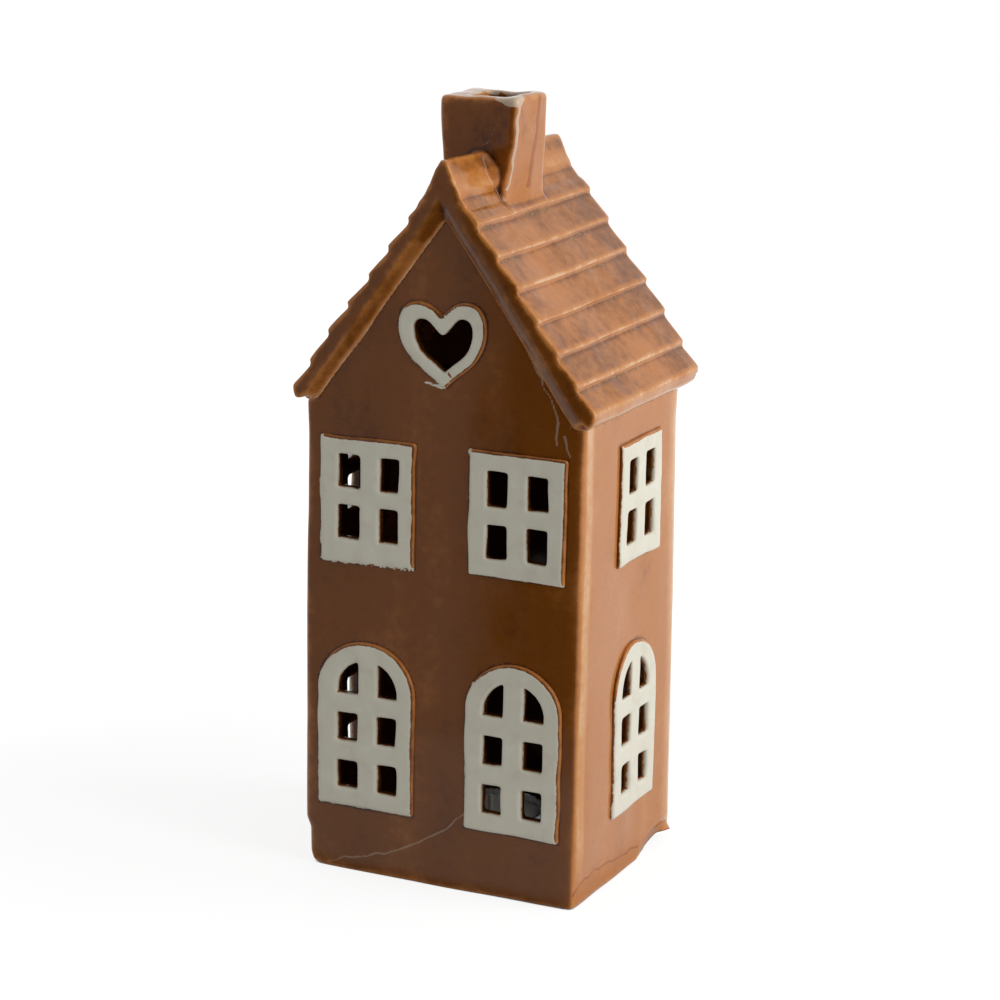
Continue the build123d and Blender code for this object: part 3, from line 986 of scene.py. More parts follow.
@dataclass(frozen=True)
class GlazeFinish:
    """Brown glaze with cream brushed on where the mesh says so.

    Attributes:
        name: The material's name.
        streaks: How strongly the glaze runs downwards.
        mottle: How cloudy it is.
        pits: How many pinholes show.
        ragged: How ragged the cream's edge is.
        painted: Whether the piece carries any cream.
        milky: How well its pale trickles cover.
        colours: The brown glaze's colours.
    """

    name: str
    streaks: float = 0.48
    mottle: float = 0.50
    pits: float = 0.5
    ragged: float = 0.5
    painted: bool = False
    milky: float = 0.28
    colours: GlazeColours = GlazeColours()

    def made(self, groups: dict[str, bpy.types.NodeTree]) -> bpy.types.Material:
        """Makes the material.

        Args:
            groups: The shared node groups by name.

        Returns:
            The new material.
        """
        material, g = cleared(self.name)
        depth = g.node("ShaderNodeGroup", node_tree=groups["depth"])
        g.feed(depth.inputs["Tone"], g.mask("tone"))
        g.feed(depth.inputs["Edge"], g.mask("edge"))
        g.feed(depth.inputs["Hollow"], g.mask("hollow"))
        depth.inputs["Streaks"].default_value = self.streaks
        depth.inputs["Mottle"].default_value = self.mottle
        brown = g.node("ShaderNodeGroup", node_tree=groups["brown"])
        g.feed(brown.inputs["Depth"], depth.outputs["Depth"])
        g.feed(brown.inputs["Pool"], g.mask("pool"))
        brown.inputs["Pits"].default_value = self.pits
        colour, rough, height = brown.outputs["Colour"], brown.outputs["Roughness"], brown.outputs["Height"]
        drawn = (("run", 0.8, self.colours.run), ("trickle", self.milky, self.colours.trickle))
        for mask, share, tint in drawn:
            line = g.node("ShaderNodeGroup", node_tree=groups["brush"])
            g.feed(line.inputs["Distance"], g.mask(mask))
            line.inputs["Ragged"].default_value = 0.12
            colour = g.blend(g.sum("MULTIPLY", line.outputs["Mask"], share), colour, tint)
            height = g.sum("ADD", height, line.outputs["Height"])
        if self.painted:
            brush = g.node("ShaderNodeGroup", node_tree=groups["brush"])
            g.feed(brush.inputs["Distance"], g.mask("cream"))
            g.feed(brush.inputs["Tear"], g.mask("tear"))
            brush.inputs["Ragged"].default_value = self.ragged
            cream = g.node("ShaderNodeGroup", node_tree=groups["cream"])
            on = brush.outputs["Mask"]
            colour = g.blend(on, colour, cream.outputs["Colour"])
            gap = g.sum("SUBTRACT", cream.outputs["Roughness"], rough)
            rough = g.sum("MULTIPLY_ADD", gap, on, rough)
            height = g.sum("ADD", height, g.sum("ADD", brush.outputs["Height"], cream.outputs["Height"]))
        surface(g, colour, rough, height, strength=0.6).inputs["IOR"].default_value = 1.33
        return material


@dataclass(frozen=True)
class PlainFinish:
    """Finish of one of the tealight's own pieces.

    Attributes:
        name: The material's name.
        light: Its lighter colour.
        dark: Its darker colour.
        rough: Mean roughness.
        size: Size of its pattern in mm.
        metallic: 1 for a metal.
        relief: Height of its grain in mm.
        glow: How much light passes under its surface.
    """

    name: str
    light: Colour
    dark: Colour
    rough: float
    size: float
    metallic: float = 0.0
    relief: float = 0.02
    glow: float = 0.0

    def made(self) -> bpy.types.Material:
        """Makes the material.

        Returns:
            The new material.
        """
        material, g = cleared(self.name)
        cloud = g.noise(g.place(), size=self.size, detail=4.0, rough=0.6)
        colour = g.ramp(cloud, [(0.3, self.dark), (0.7, self.light)])
        rough = g.spread(cloud, 0.3, 0.7, self.rough * 0.8, self.rough * 1.25)
        grain = g.sum("MULTIPLY", g.noise(g.place(), size=self.size / 4, detail=2.0), self.relief)
        shader = surface(g, colour, rough, grain)
        shader.inputs["Metallic"].default_value = self.metallic
        shader.inputs["Subsurface Weight"].default_value = self.glow
        shader.inputs["Subsurface Scale"].default_value = 2.0 * MM
        return material


# The sub-assemblies


@dataclass
class Line:
    """A run, stroke or spot of glaze drawn on a flat face.

    Attributes:
        places: Its corners, across and up the face, in mm.
        width: Half its width in mm.
        wander: How far its edges stray from a straight course, in mm.
    """

    places: list[Place]
    width: float
    wander: float = 0.8

    def distance(self, flat: Array) -> Array:
        """How far inside the line places lie.

        Args:
            flat: Places in the face's plane, in mm.

        Returns:
            The distances in mm, positive inside.
        """
        level = np.c_[flat, flat[:, :1] * 0.0]
        stray = np.stack([ripple(level, size=4.0, seed=seed) for seed in (41, 42)], axis=1)
        flat = flat + self.wander * stray
        best = np.full(len(flat), FAR)
        for start, end in zip(self.places[:-1], self.places[1:]):
            one, other = np.array(start), np.array(end)
            along = other - one
            t = ramp((flat - one) @ along / max(along @ along, 1e-9))
            best = np.minimum(best, np.linalg.norm(flat - (one + t[:, None] * along), axis=1))
        return self.width - best


@dataclass
class Ceramic:
    """Shared work of the glazed pieces.

    Attributes:
        outlines: The raised windows' outlines.
        strokes: Strokes of cream past the front frames.
        bites: Spots of brown on the cream.
        body_tone: How deep the glaze lies on sides and slopes.
        rear_tone: How much darker a surface that faces the rear is made.
        inner_shade: How dark the glaze is made inside the house and the flue, as painted shade.
        jamb_shades: How dark the panes' jambs are made behind the wall's face and before it, as painted
            shade.
        ring_shade: How much darker the rim round a frame is made, as painted shade in its groove and on its
            side.
    """

    outlines: list[Outline]
    strokes: list[Line] = field(
        default_factory=lambda: [
            Line([(9.9, 152.2), (10.6, 149.0)], width=0.75),
            Line([(11.4, 70.6), (12.6, 73.8)], width=0.75),
            Line([(-6.2, 173.0), (-4.0, 172.4), (-1.4, 172.2)], width=0.6),
            Line([(-43.8, 151.6), (-43.9, 140.0), (-43.5, 113.0)], width=0.7),
        ]
    )
    bites: list[Line] = field(
        default_factory=lambda: [
            Line([(2.6, 192.6), (2.9, 192.2)], width=0.32),
            Line([(1.7, 177.2), (2.2, 176.8)], width=0.42),
        ]
    )
    body_tone: float = 0.40
    rear_tone: float = 0.12
    inner_shade: float = 0.97
    jamb_shades: tuple[float, float] = (0.93, 0.62)
    ring_shade: float = 0.20

    def masks(self, skin: Skin, front: float = 0.33) -> None:
        """Adds the glaze's masks to a skin.

        Args:
            skin: The skin, before it is warped.
            front: How much darker a surface that faces the front is made, as painted shade.
        """
        normals = skin.normals()
        for _ in range(6):
            normals = skin.around(normals)
        x, y, z = skin.points.T
        shaded_front = fall(normals[:, 1], -0.95, -0.35)
        behind = rise(normals[:, 1], 0.35, 0.95)
        inside = (np.abs(x) < PLAN.half_width - 2.0) & (np.abs(y) < PLAN.half_depth - 2.0) & (z < PLAN.eaves)
        across, along = from_flue(skin.points)
        flue = (across < PLAN.flue_half[0]) & (along < PLAN.flue_half[1])
        flue &= (z > PLAN.flue_ends[0]) & (z < PLAN.flue_ends[1])
        inside |= flue & (np.abs(normals[:, 2]) < 0.5)
        # Painted shade: surfaces that face the front are made darker, and those that face the rear somewhat
        # darker.
        tone = self.body_tone + front * shaded_front + self.rear_tone * behind
        # Painted shade: inside the house and the flue the glaze is made nearly black.
        skin.masks["tone"] = np.where(inside, self.inner_shade, tone)
        # The hollow mask darkens concave places: partly pooled glaze, partly painted shade round the frames
        # and under the roof's lips.
        skin.masks["hollow"] = np.clip(-skin.masks["wide"], 0, 2)
        skin.masks["pool"] = np.zeros(len(skin.points))
        torn = fall(z, 111.5, 113.0) * rise(z, 104.0, 106.0) * fall(y, -40.6, -40.0)
        skin.masks["tear"] = torn * rise(x, -46.0, -44.0) * fall(x, -10.5, -8.5)
        for name in ("trickle", "run", "cream"):
            skin.masks[name] = np.full(len(skin.points), OUTSIDE)

    def draw(self, skin: Skin, mask: str, side: Side, lines: list[Line], near: Array) -> None:
        """Adds lines to one of a skin's masks.

        Args:
            skin: The skin, before it is warped.
            mask: The mask's name.
            side: The wall whose plane the lines are drawn in.
            lines: The lines.
            near: Which vertices they reach.
        """
        for line in lines:
            value = np.full(len(skin.points), OUTSIDE)
            value[near] = line.distance(side.flat(skin.points[near]))
            skin.masks[mask] = np.maximum(skin.masks[mask], value)

    def cream(self, skin: Skin, only: str = "") -> None:
        """Adds the mask that says where cream is brushed on.

        Args:
            skin: The skin, before it is warped.
            only: A node's name, if just that frame counts.
        """
        paint = np.full(len(skin.points), OUTSIDE)
        for outline in self.outlines:
            if not only or outline.node == only:
                near, value = self.brushed(skin, outline)
                paint[near] = np.maximum(paint[near], value)
        front = -skin.points[:, 1] - PLAN.half_depth
        near = (front > -0.6) & (front < 3.0)
        skin.masks["cream"] = paint
        self.draw(skin, "cream", Side.FRONT, self.strokes, near)
        for bite in self.bites:
            value = bite.distance(Side.FRONT.flat(skin.points))
            skin.masks["cream"] = np.where(near, np.minimum(skin.masks["cream"], -value), skin.masks["cream"])
        skin.masks["cream"] = np.clip(skin.masks["cream"], OUTSIDE, -OUTSIDE)

    def brushed(self, skin: Skin, outline: Outline) -> tuple[Array, Array]:
        """Cream on one frame, and the deeper brown in its jambs and round it.

        Args:
            skin: The skin, before it is warped.
            outline: The frame's outline.

        Returns:
            Which vertices lie near the frame, and how far inside the cream each of them is.
        """
        side = outline.side
        low, high = (np.array(v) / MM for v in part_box(outline.node))
        depth = skin.points[:, side.axis] * side.sign - abs(side.plane)
        near = (depth > -3.4) & (depth < 3.0)
        flat = side.flat(skin.points)
        for axis, line in ((1 - side.axis, 0), (2, 1)):
            near &= (flat[:, line] > low[axis] - 6) & (flat[:, line] < high[axis] + 6)
        inside, out, rim = outline.distance(flat[near])
        depth = depth[near]
        toward = -out[:, 0] - 0.7 * out[:, 1] if side is Side.FRONT else -out[:, 1] - 0.5 * out[:, 0]
        over = np.where(rim, -0.3 + 1.2 * rise(toward, 0.1, 0.9), 0.08)
        jamb = (~rim) & (inside < 0.5) & (depth < 0.9)
        tone = skin.masks["tone"][near]
        # Painted shade: the jambs are made dark, darkest behind the wall's face.
        skin.masks["tone"][near] = np.where(jamb, np.where(depth < -0.7, *self.jamb_shades), tone)
        ring = rim & (inside < 0.6) & (inside > -1.2)
        # Painted shade round the frame's rim.
        skin.masks["tone"][near] += self.ring_shade * ring
        deep = np.clip(0.45 - depth, 0.0, 0.5)
        hole = np.clip(depth + 0.3, -3.0, 0.0)
        return near, inside + over - 0.25 * deep + 2.0 * hole


@dataclass
class Walls(Ceramic):
    """The four walls as one pressed body.

    Attributes:
        nodes: The CAD nodes of the walls.
        voxel: Edge of the skin's quads in mm.
        overlap: How far the side walls reach into the gable walls, in mm.
        collar: How far the top ring reaches up under the slopes, in mm.
        pale: Thin milky trickles high on the front, and a pale curve low on it that is a painted reflection.
        brown: The thin dark run low on the right side.
        corner_sheen: How much lighter the right wall is made beside its upright corners, as a painted
            reflection of the lamp and the white surroundings.
        scoop_shade: How much darker the scoop's downward faces are made, as painted shade.
    """

    nodes: list[str] = field(default_factory=lambda: ["front_wall", "rear_wall", "right_wall", "left_wall"])
    voxel: float = 0.7
    overlap: float = 0.5
    collar: float = 1.6
    pale: list[Line] = field(
        default_factory=lambda: [
            Line([(29.3, 187.0), (34.2, 178.7), (38.5, 170.2), (41.0, 164.6), (40.2, 157.1)], width=0.42),
            Line([(42.6, 160.5), (43.6, 156.6), (45.0, 153.8)], width=0.42),
            # The low pale curve across the front is a painted reflection.
            Line([(-42.2, 1.4), (-14.7, 10.7), (3.2, 20.6), (9.2, 28.4)], width=0.34),
        ]
    )
    brown: list[Line] = field(
        default_factory=lambda: [
            Line(
                [(-39.5, 5.2), (-35.5, 7.6), (-31.0, 8.6), (-24.0, 9.2), (-6.8, 6.8), (14.0, 5.6)],
                width=0.5,
            ),
        ]
    )
    corner_sheen: float = 0.31
    scoop_shade: float = 0.42

    def build(self, material: bpy.types.Material) -> bpy.types.Object:
        """Builds and dresses the walls.

        Args:
            material: The walls' glaze.

        Returns:
            The piece.
        """
        skin = Skin.over([self.lapped(name) for name in self.nodes], self.voxel)
        x, y, z = skin.points.T
        edge = rise(np.abs(x), 45.0, 48.0) * rise(np.abs(y), 36.0, 39.0) * (z < PLAN.eaves - 1.0)
        skin.soften(rounds=3)
        skin.soften(rounds=6, share=np.maximum(edge, 0.6 * fall(z, 1.0, 4.0)))
        skin.read_relief("edge", rounds=4, unit=0.13)
        skin.read_relief("wide", rounds=14, unit=0.6)
        self.masks(skin)
        self.cream(skin)
        x, y, z = skin.points.T
        ring = rise(z, 160.5, 162.4) * rise(np.abs(x), 44.0, 46.0) * (z < 164.0)
        skin.points[:, 2] += self.collar * ring
        self.dress(skin)
        skin.wave(size=26.0, height=0.40, seed=3)
        skin.wave(size=9.0, height=0.12, seed=4)
        skin.points = fired(skin.points)
        return skin.made("walls", Body.HOUSE, self.nodes, material)

    def lapped(self, name: str) -> tuple[Array, Array]:
        """A wall's solid, with a side wall's ends drawn into the gable walls.

        Args:
            name: The wall's node.

        Returns:
            Its vertices and triangles.
        """
        places, corners = node_arrays(name)
        if name in ("right_wall", "left_wall"):
            places[:, 1] += self.overlap * np.sign(places[:, 1]) * (np.abs(places[:, 1]) > 30.0)
        return places, corners

    def dress(self, skin: Skin) -> None:
        """Adds the walls' painted corner reflections, runs and the scoop's painted shade to the masks.

        Args:
            skin: The skin, before it is warped.
        """
        x, y, z = skin.points.T
        uneven = y + 1.5 * ripple(skin.points * np.array([1.0, 1.0, 0.2]), size=9.0, seed=71)
        corner_sheen = rise(uneven, -39.4, -38.0) * fall(uneven, -35.2, -32.2) * rise(z, 4.0, 24.0)
        corner_sheen = np.maximum(corner_sheen, rise(uneven, 30.0, 39.0)) * rise(x, 48.0, 49.3)
        # Painted reflection: the right wall is made lighter beside its upright corners.
        skin.masks["tone"] = skin.masks["tone"] - self.corner_sheen * corner_sheen
        normals = skin.normals()
        shaded_front = fall(normals[:, 1], -0.8, -0.2)
        # Painted shade: the front stays dark up to its right corner, without the lighter thin-glaze edge.
        skin.masks["edge"] = skin.masks["edge"] * (1.0 - 0.7 * shaded_front * rise(x, 44.0, 46.0))
        self.draw(skin, "trickle", Side.FRONT, self.pale, y < 1.0 - PLAN.half_depth)
        self.draw(skin, "run", Side.RIGHT, self.brown, x > PLAN.half_width - 1.0)
        # Painted shade on the scoop's downward faces.
        scoop = rise(y, 12.0, 18.0) * rise(x, 40.0, 43.0) * fall(z, 8.0, 10.0)
        skin.masks["tone"] = skin.masks["tone"] + self.scoop_shade * scoop * fall(normals[:, 2], -0.6, -0.25)


@dataclass
class Windows(Ceramic):
    """The raised frames, one piece each.

    Attributes:
        voxel: Edge of the skins' quads in mm.
        tongue: How far a frame reaches into its wall, in mm.
        plump: How thick the glaze lies on it, in mm.
        stray: How far its edges wander, in mm.
    """

    voxel: float = 0.36
    tongue: float = 2.9
    plump: float = 0.22
    stray: float = 0.42

    def build(self, material: bpy.types.Material) -> None:
        """Builds and dresses every frame.

        Args:
            material: The frames' glaze.
        """
        for number, outline in enumerate(self.outlines):
            skin = self.frame(outline, number)
            heart = outline.node == "heart_frame"
            name = "heart_border" if heart else outline.node + "_frame"
            skin.made(name, Body.HOUSE, [outline.node], material)

    def frame(self, outline: Outline, number: int) -> Skin:
        """Shapes and dresses one frame.

        Args:
            outline: The frame's outline.
            number: Its number, which picks its noise.

        Returns:
            The frame's skin.
        """
        side = outline.side
        places, corners = node_arrays(outline.node)
        depth = places[:, side.axis] * side.sign - abs(side.plane)
        places[depth < 0.3, side.axis] -= side.sign * self.tongue
        skin = Skin.over([(places, corners)], self.voxel)
        skin.soften(rounds=9)
        skin.read_relief("edge", rounds=6, unit=0.10)
        skin.read_relief("wide", rounds=14, unit=0.6)
        self.masks(skin)
        self.cream(skin, outline.node)
        skin.points = skin.points + self.plump * skin.normals()
        skin.wave(size=26.0, height=0.40, seed=3)
        skin.wave(size=6.0, height=0.16, seed=5)
        skin.points[:, 1 - side.axis] += self.stray * ripple(skin.points, size=9.0, seed=20 + number)
        skin.points[:, 2] += self.stray * ripple(skin.points, size=9.0, seed=60 + number)
        skin.points = fired(skin.points)
        return skin


@dataclass
class Chimney(Ceramic):
    """The hollow chimney's own shape and runs of glaze.

    Attributes:
        pale: The milky squiggle on its front.
        seam: The pale run down its front right corner.
        brown: The dark run down its right side.
        luting: How far the slip climbs round its foot, in mm.
        waist: How far its right side is drawn in at the foot, at the rear and more at the front, in mm.
        mouth: How far the flue's mouth is narrowed, across and along, in mm.
        uneven: How far the rim wanders up and down, in mm.
        lean: How far the left side is pushed out at the top, in mm.
    """

    pale: list[Line] = field(
        default_factory=lambda: [
            Line(
                [(7.9, 259.0), (6.3, 256.0), (4.8, 252.7), (3.9, 250.2), (1.5, 248.9), (-1.5, 248.6)],
                width=0.06,
            ),
        ]
    )
    seam: list[Line] = field(
        default_factory=lambda: [
            Line(
                [
                    (-15.2, 263.0),
                    (-15.5, 258.0),
                    (-14.6, 253.5),
                    (-15.4, 248.0),
                    (-15.2, 242.0),
                    (-15.6, 231.0),
                ],
                width=0.55,
            ),
        ]
    )
    brown: list[Line] = field(
        default_factory=lambda: [Line([(0.7, 262.4), (0.7, 254.2), (-1.5, 243.7), (-2.7, 233.5)], width=1.5)]
    )
    luting: float = 1.8
    waist: tuple[float, float] = (0.6, 2.0)
    mouth: tuple[float, float] = (3.4, 1.0)
    uneven: float = 0.5
    lean: float = 0.7

    def reach(self, points: Array) -> Array:
        """Which places belong to the chimney above the slopes."""
        across, along = from_flue(points)
        return (across < 15.5) & (along < 14.6) & (points[:, 2] > 246.5 - 1.2 * np.abs(points[:, 0]))

    def dress(self, skin: Skin) -> None:
        """Adds the chimney's runs and its whitish rim to the masks.

        Args:
            skin: The skin, before it is warped.
        """
        x, y, z = skin.points.T
        own = self.reach(skin.points)
        self.draw(skin, "trickle", Side.FRONT, self.pale, own & (y < -16.0))
        self.draw(skin, "trickle", Side.RIGHT, self.seam, own & (x > 10.8))
        self.draw(skin, "run", Side.RIGHT, self.brown, own & (x > 11.5))
        across, along = from_flue(skin.points)
        rim = rise(z + 1.3 * ripple(skin.points, size=4.0, seed=50), 262.6, 263.9)
        mouth = fall(np.maximum(across - 9.5, along - 8.5), 0.6, 2.0)
        left, back = np.clip(10.8 - x, 0, None), np.clip(y + 14.4, 0, None)
        drop = 263.6 - z + 0.36 * left + 0.6 * back + 1.0 * ripple(skin.points, size=3.0, seed=53)
        white = -0.7 + 1.7 * np.maximum(rim * mouth, fall(drop, 0.8, 2.6))
        skin.masks["trickle"] = np.maximum(skin.masks["trickle"], np.where(own, white, OUTSIDE))

    def shape(self, skin: Skin) -> None:
        """Lutes the foot to the slopes, narrows the flue's mouth and makes the rim uneven.

        Args:
            skin: The skin, before it is warped.
        """
        x, y, z = skin.points.T
        across, _ = from_flue(skin.points)
        beside = rise(across, 8.0, 10.5) * fall(across, 11.6, 14.4)
        beside = beside * rise(y, -18.6, -16.8) * fall(y, 8.2, 10.5)
        skin.points[:, 2] += self.luting * beside * rise(z, 214.0, 222.0) * fall(z, 234.0, 250.0)
        within = (np.abs(x - PLAN.flue[0]) < 11.0) & (y > -14.6) & (y < 5.6)
        mouth = within * rise(z, 254.0, 262.0)
        skin.points[:, 0] += mouth * fall(x, -8.0, -2.0) * self.mouth[0]
        skin.points[:, 1] += mouth * fall(y, -12.0, -6.0) * self.mouth[1]
        foot = fall(z, 232.0, 252.0) * rise(z, 227.0, 231.0) * rise(x, 6.0, 11.5) * fall(x, 13.6, 14.6)
        foot = foot * rise(y, -20.0, -18.0) * fall(y, 8.0, 12.0)
        skin.points[:, 0] -= (self.waist[0] + self.waist[1] * fall(y, -15.0, 0.0)) * foot
        lift = ripple(skin.points, size=7.0, seed=52) + fall(x, -6.0, 2.0) * rise(y, -6.0, 4.0)
        skin.points[:, 2] += self.uneven * lift * rise(z, 258.0, 264.0)
        skin.points[:, 0] -= self.lean * fall(x, -14.0, -8.0) * rise(z, 244.0, 258.0)


@dataclass
class Roof(Ceramic):
    """The slopes, the ridge, the strips under the verges and the chimney, luted into one piece.

    Attributes:
        nodes: The CAD nodes that it stands for.
        voxel: Edge of the skin's quads in mm.
        stack: Half the chimney's width and depth where it meets the slopes, in mm.
        heights: Heights at which the ridge's section is given, in mm.
        right_half: How far the section reaches to the right at each.
        left_half: The same to the left.
        foot_of_crown: Height in mm at which the ridge's own section starts.
        slot: Height in mm of each level at which the section is measured.
        slope_tones: How much darker the slopes' upward faces are made, more towards their top and on the
            ridge.
        strip_light: How much lighter the left strip is made, as painted light where the lamp falls on its
            bevel.
    """

    nodes: list[str] = field(
        default_factory=lambda: [
            "right_roof_slope",
            "left_roof_slope",
            "front_ridge_cap",
            "rear_ridge_cap",
            "front_bargeboard",
            "rear_bargeboard",
            "chimney",
        ]
    )
    voxel: float = 0.5
    stack: tuple[float, float] = (12.9, 12.0)
    heights: tuple[float, ...] = (230.8, 232.5, 234.0, 235.0, 236.0, 237.0, 238.5, 241.0, 243.0, 246.0)
    right_half: tuple[float, ...] = (8.9, 7.8, 6.8, 6.1, 5.9, 5.3, 4.4, 3.0, 2.2, 0.9)
    left_half: tuple[float, ...] = (10.0, 9.2, 7.9, 7.1, 6.5, 5.8, 5.0, 4.1, 3.4, 1.6)
    foot_of_crown: float = 228.0
    slot: float = 0.5
    slope_tones: tuple[float, float, float] = (0.15, 0.01, 0.04)
    strip_light: float = 0.12

    def build(self, material: bpy.types.Material) -> bpy.types.Object:
        """Builds and dresses the roof.

        Args:
            material: The roof's glaze.

        Returns:
            The piece.
        """
        chimney = Chimney(self.outlines)
        skin = Skin.over([node_arrays(node) for node in self.nodes], self.voxel)
        self.smooth(skin)
        skin.read_relief("edge", rounds=7, unit=0.062)
        skin.read_relief("wide", rounds=24, unit=0.45)
        # Painted shade on the roof's faces that look to the front, as on the walls.
        self.masks(skin, front=0.36)
        self.dress(skin, chimney.reach(skin.points))
        self.crown(skin)
        chimney.dress(skin)
        chimney.shape(skin)
        skin.wave(size=19.0, height=0.42, seed=7)
        skin.wave(size=7.0, height=0.16, seed=8)
        skin.points = Settling().moved(skin.points)
        return skin.made("roof", Body.HOUSE, self.nodes, material)

    def smooth(self, skin: Skin) -> None:
        """Rounds the courses, and more so the verges, the ridge, the eaves and the chimney's joint.

        Args:
            skin: The skin, before it is warped.
        """
        x, y, z = skin.points.T
        across, along = from_flue(skin.points)
        stack = np.maximum(across - self.stack[0], along - self.stack[1])
        joint = fall(np.abs(stack), 1.5, 4.0) * fall(np.abs(z - 234.0), 7.0, 11.0)
        verge = rise(np.abs(y), 39.0, 42.5)
        ridge = rise(z, 228.0, 234.0) * rise(stack, 1.5, 4.0)
        eave = fall(z, 168.0, 172.0)
        high = rise(z, 250.0, 254.0)
        skin.soften(rounds=5)
        shares = [0.8 * verge, 0.9 * ridge, 0.9 * eave, 0.3 * joint, 0.6 * high]
        skin.soften(rounds=12, share=np.maximum.reduce(shares))
        skin.soften(rounds=8, share=0.5 * ridge)

    def dress(self, skin: Skin, stack: Array) -> None:
        """Adds the slopes' pooled glaze, their darker tone and the left strip's painted light to the masks.

        Args:
            skin: The skin, before it is warped.
            stack: Which vertices are the chimney's.
        """
        skin.masks["edge"] = np.where(stack, 0.6, 1.0) * skin.masks["edge"]
        x, y, z = skin.points.T
        top = rise(skin.normals()[:, 2], 0.2, 0.4) * ~stack
        patch = rise(ripple(skin.points * np.array([1.0, 0.6, 1.0]), size=11.0, seed=33), -0.25, 0.35)
        skin.masks["pool"] = top * patch * fall(skin.masks["wide"], -0.45, 0.05)
        slope, upper, crown = self.slope_tones
        deeper = slope + upper * rise(z, 200.0, 236.0) + crown * rise(z, 239.0, 243.0) * top
        skin.masks["tone"] = skin.masks["tone"] + top * deeper
        pitch = math.radians(PLAN.pitch)
        below = (PLAN.crown - z) * math.cos(pitch) - np.abs(x) * math.sin(pitch)
        # Painted light on the left strip under the verge.
        strip = fall(y, -41.5, -40.9) * fall(x, -12.0, -3.0)
        strip = strip * rise(below, 5.8, 6.6) * fall(below, 10.0, 11.4)
        skin.masks["tone"] = skin.masks["tone"] - self.strip_light * strip

    def crown(self, skin: Skin) -> None:
        """Draws the ridge's section, which leans to the left and runs into the slopes without a neck.

        Args:
            skin: The skin, before it is warped.
        """
        x, y, z = skin.points.T
        low, count = self.foot_of_crown, 40
        slot = np.clip(((z - low) / self.slot).astype(int), 0, count)
        ends = (np.abs(y) > 37.0) & (z > low)
        centres = low + self.slot * (np.arange(count + 1) + 0.5)
        clear = np.maximum(fall(y, -20.0, -17.6), rise(y, 9.0, 12.0)) * (z > low)
        for side, wanted in ((1.0, self.right_half), (-1.0, self.left_half)):
            here = ends & (x * side > 0)
            reach = np.zeros(count + 1)
            np.maximum.at(reach, slot[here], np.abs(x[here]))
            target = np.interp(centres, self.heights, wanted)
            share = np.where(centres < 230.4, 1.0, np.clip(target / np.maximum(reach, 0.8), 0.5, 2.2))
            share = np.convolve(np.pad(share, 1, mode="edge"), [0.25, 0.5, 0.25], mode="valid")
            factor = 1.0 + (np.interp(z, centres, share) - 1.0) * clear
            skin.points[:, 0] *= np.where(x * side > 0, factor, 1.0)


@dataclass
class Tealight:
    """The tealight that the house stands over.

    Attributes:
        cup: Finish of its cup.
        wax: Finish of its wax.
        wick: Finish of its wick.
        holder: Finish of the disc that holds the wick.
    """

    cup: PlainFinish = PlainFinish(
        "aluminium", light=(0.86, 0.86, 0.87), dark=(0.74, 0.74, 0.76), metallic=1.0, rough=0.28, size=3.0
    )
    wax: PlainFinish = PlainFinish(
        "white wax",
        light=(0.90, 0.88, 0.83),
        dark=(0.84, 0.82, 0.76),
        rough=0.42,
        size=6.0,
        relief=0.06,
        glow=0.4,
    )
    wick: PlainFinish = PlainFinish(
        "cotton wick", light=(0.86, 0.84, 0.78), dark=(0.66, 0.62, 0.54), rough=0.85, size=0.6, relief=0.12
    )
    holder: PlainFinish = PlainFinish(
        "tinned steel", light=(0.66, 0.66, 0.68), dark=(0.50, 0.50, 0.52), metallic=1.0, rough=0.32, size=1.5
    )

    def build(self) -> None:
        """Dresses the tealight's pieces."""
        finishes = {
            "tealight_cup": self.cup,
            "tealight_wax": self.wax,
            "tealight_wick": self.wick,
            "wick_sustainer": self.holder,
        }
        for name, finish in finishes.items():
            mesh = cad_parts[name].data
            mesh.materials.clear()
            mesh.materials.append(finish.made())
            mesh.shade_smooth()
            LOG.info("%s: dressed", name)


# The studio and the camera


